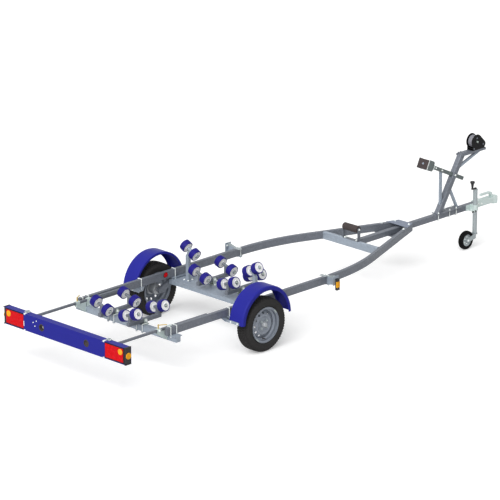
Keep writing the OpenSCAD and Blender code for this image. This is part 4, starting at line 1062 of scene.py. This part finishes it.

# %% [markdown]
# ## Plate edges
# The side markers hang on webs that widen outwards, each held by a strap on the rail's top. The axle
# tray's sheet is folded at its rear. Two thin strips in the bright zinc finish mark the fold's edges as a
# painted highlight.

# %% Marker webs, and tray folds with a painted highlight
marker_rear, web_out = 1.055, 0.7575
web = [(0.640, 0.478), (web_out, 0.4742), (web_out, 0.5095), (0.728, 0.5095), (0.640, 0.486)]
web_top = loft([[at(x, y, z) for x, z in web] for y in (marker_rear + 0.0002, marker_rear + 0.0038)])
rail_strap = brick((0.560, 0.642), (marker_rear - 0.034, marker_rear + 0.008),
                   (rail_top, rail_top + 0.004), 0.001)
add_piece("marker_web_tops", both([web_top, rail_strap]), "frame", "galvanised", "pale_plate")
tray_span = span(0.0, 0.636)
# Thin strips at the tray's rear edge, top and bottom. Their bright zinc is a painted highlight along the
# fold.
folds = [brick(tray_span, (0.101, 0.113), (0.3745, 0.377), 0.001),
         brick(tray_span, (0.096, 0.106), (0.3302, 0.3335), 0.001)]
add_piece("tray_edge_folds", folds, "frame", "bright_galvanised")
print("marker webs and tray edges added")

# %% [markdown]
# ## Nose
# At the front the coupling is bolted through the drawbar, and a nose plate with a lip lies over the
# rails' ends, where they stand a little higher than the drawbar. The jockey wheel's clamp has a grip,
# its crank a knob, and six small bolts hold the halves of its rim.

# %% Coupling, nose and jockey wheel
nose_t = 0.004
places = [(at(0.036, y, 0.430), RIGHT) for y in (3.985, 4.035)]
places += [(at(0.1523, 2.70, rail_top), UP), (at(0.0971, 2.84, rail_top + nose_t), UP)]
places += [(at(0.5878, -1.2075, tube_z), RIGHT)]
add_fasteners("nose_bolts", both_places(places), "frame", 0.017, 0.009, 1.4, 0.002)
corners = [(-0.149, 2.76), (0.149, 2.76), (0.095, 2.897), (-0.095, 2.897)]
nose_plate = loft([[at(x, y, z) for x, y in corners] for z in (rail_top, rail_top + nose_t)])
lip = brick(span(0.0, 0.040), (2.893, 2.897), (rail_top - 0.020, rail_top), 0.001)
add_piece("nose_plate", [nose_plate, lip], "frame", "galvanised", "nose_zinc")
jockey_mid = middle("jockey_rim")
rim_bolt_ring, rim_bolt_out, axle_nut_out = 0.037, 0.0135, 0.035
places = [place for s in (-1, 1) for place in bolt_circle(jockey_mid, s, 6, rim_bolt_ring, rim_bolt_out)]
add_fasteners("jockey_rim_bolts", places, "jockey_wheel", 0.010, 0.005, 1.4)
axle_ends = [(jockey_mid + s * axle_nut_out * RIGHT, s * RIGHT) for s in (-1, 1)]
add_fasteners("jockey_axle_nuts", axle_ends, "jockey_fork", 0.018, 0.008, 1.2, 0.001)
sleeve = [(0.0, 0.0), (0.0085, 0.0), (0.0095, 0.002), (0.0095, 0.017), (0.008, 0.019), (0.0, 0.019)]
sleeves = [turned(sleeve, at(0.135, 3.810 + s * 0.009, 0.413), s * FRONT, 20) for s in (-1, 1)]
add_piece("clamp_grip_sleeves", sleeves, "frame", "black_plastic")
crank_low, crank_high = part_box("jockey_crank")
knob = [(0.0, -0.027), (0.010, -0.027), (0.013, -0.017), (0.023, -0.009), (0.0255, -0.002), (0.0255, 0.005),
        (0.022, 0.011), (0.0, 0.013)]
knob_spot = Vector(((crank_low.x + crank_high.x) / 2, crank_low.y + 0.017, crank_high.z))
add_piece("crank_knob", [turned(knob, knob_spot, UP, 36)], "jockey_leg", "black_plastic")
print("nose dressed")

# %% [markdown]
# ## Welds
# The joints between tubes are welded: a bead of small ripples runs round the foot of each post, stem
# and cheek. The bead tree follows a path of edges, one mesh for each body.

# %% Weld beads
bead_spacing = 0.0045


def square_path(centre, half_x, half_y):
    """The corners of a closed rectangle on a level plane."""
    return [centre + Vector((sx * half_x, sy * half_y, 0)) for sx, sy in
            ((-1, -1), (1, -1), (1, 1), (-1, 1), (-1, -1))]


def add_welds(name, paths, body, radius=0.0028):
    """Beads along several open paths."""
    points, edges = [], []
    for path in paths:
        first = len(points)
        points += path
        edges += [(first + i, first + i + 1) for i in range(len(path) - 1)]
    line = bpy.data.meshes.new(name + "_line")
    line.from_pydata(points, edges, [])
    mesh = grow(name, line, [(beads, {
        "Bead Radius": radius, "Spacing": bead_spacing, "Finish": finishes["galvanised"]})])
    return add_mesh(name, mesh, body)


cross_rear, cross_front, drawbar_half, drawbar_top = 2.0603, 2.1003, 0.030, 0.459
paths = [square_path(at(0, y, z), 0.030, 0.0353) for y, z in ((3.397, post_plate_top), (3.7484, 1.036))]
for s in (-1, 1):
    paths.append(square_path(at(s * upright_x, upright_y, tray_bolt_z), 0.020, 0.020))
    rear, front = at(s * 0.3828, cross_rear, rail_top), at(s * 0.3670, cross_front, rail_top)
    drop = (rail_low - rail_top) * UP
    paths.append([rear + drop, rear, front, front + drop])
    paths.append([at(s * 0.102, y, 0.485) for y in span(keel_y, 0.020)])
drawbar_section = [(-drawbar_half, rail_low), (-drawbar_half, drawbar_top), (drawbar_half, drawbar_top),
                   (drawbar_half, rail_low)]
paths.append([at(x, cross_front, z) for x, z in drawbar_section])
add_welds("frame_welds", paths, "frame")
for name, x, pivot in rockers:
    feet = [square_path(at(x, y, 0.453), 0.015, 0.015) for y in span(pivot, 0.183)]
    add_welds(name + "_welds", feet, name, 0.0024)
print("welds laid on the frame and", len(rockers), "rockers")
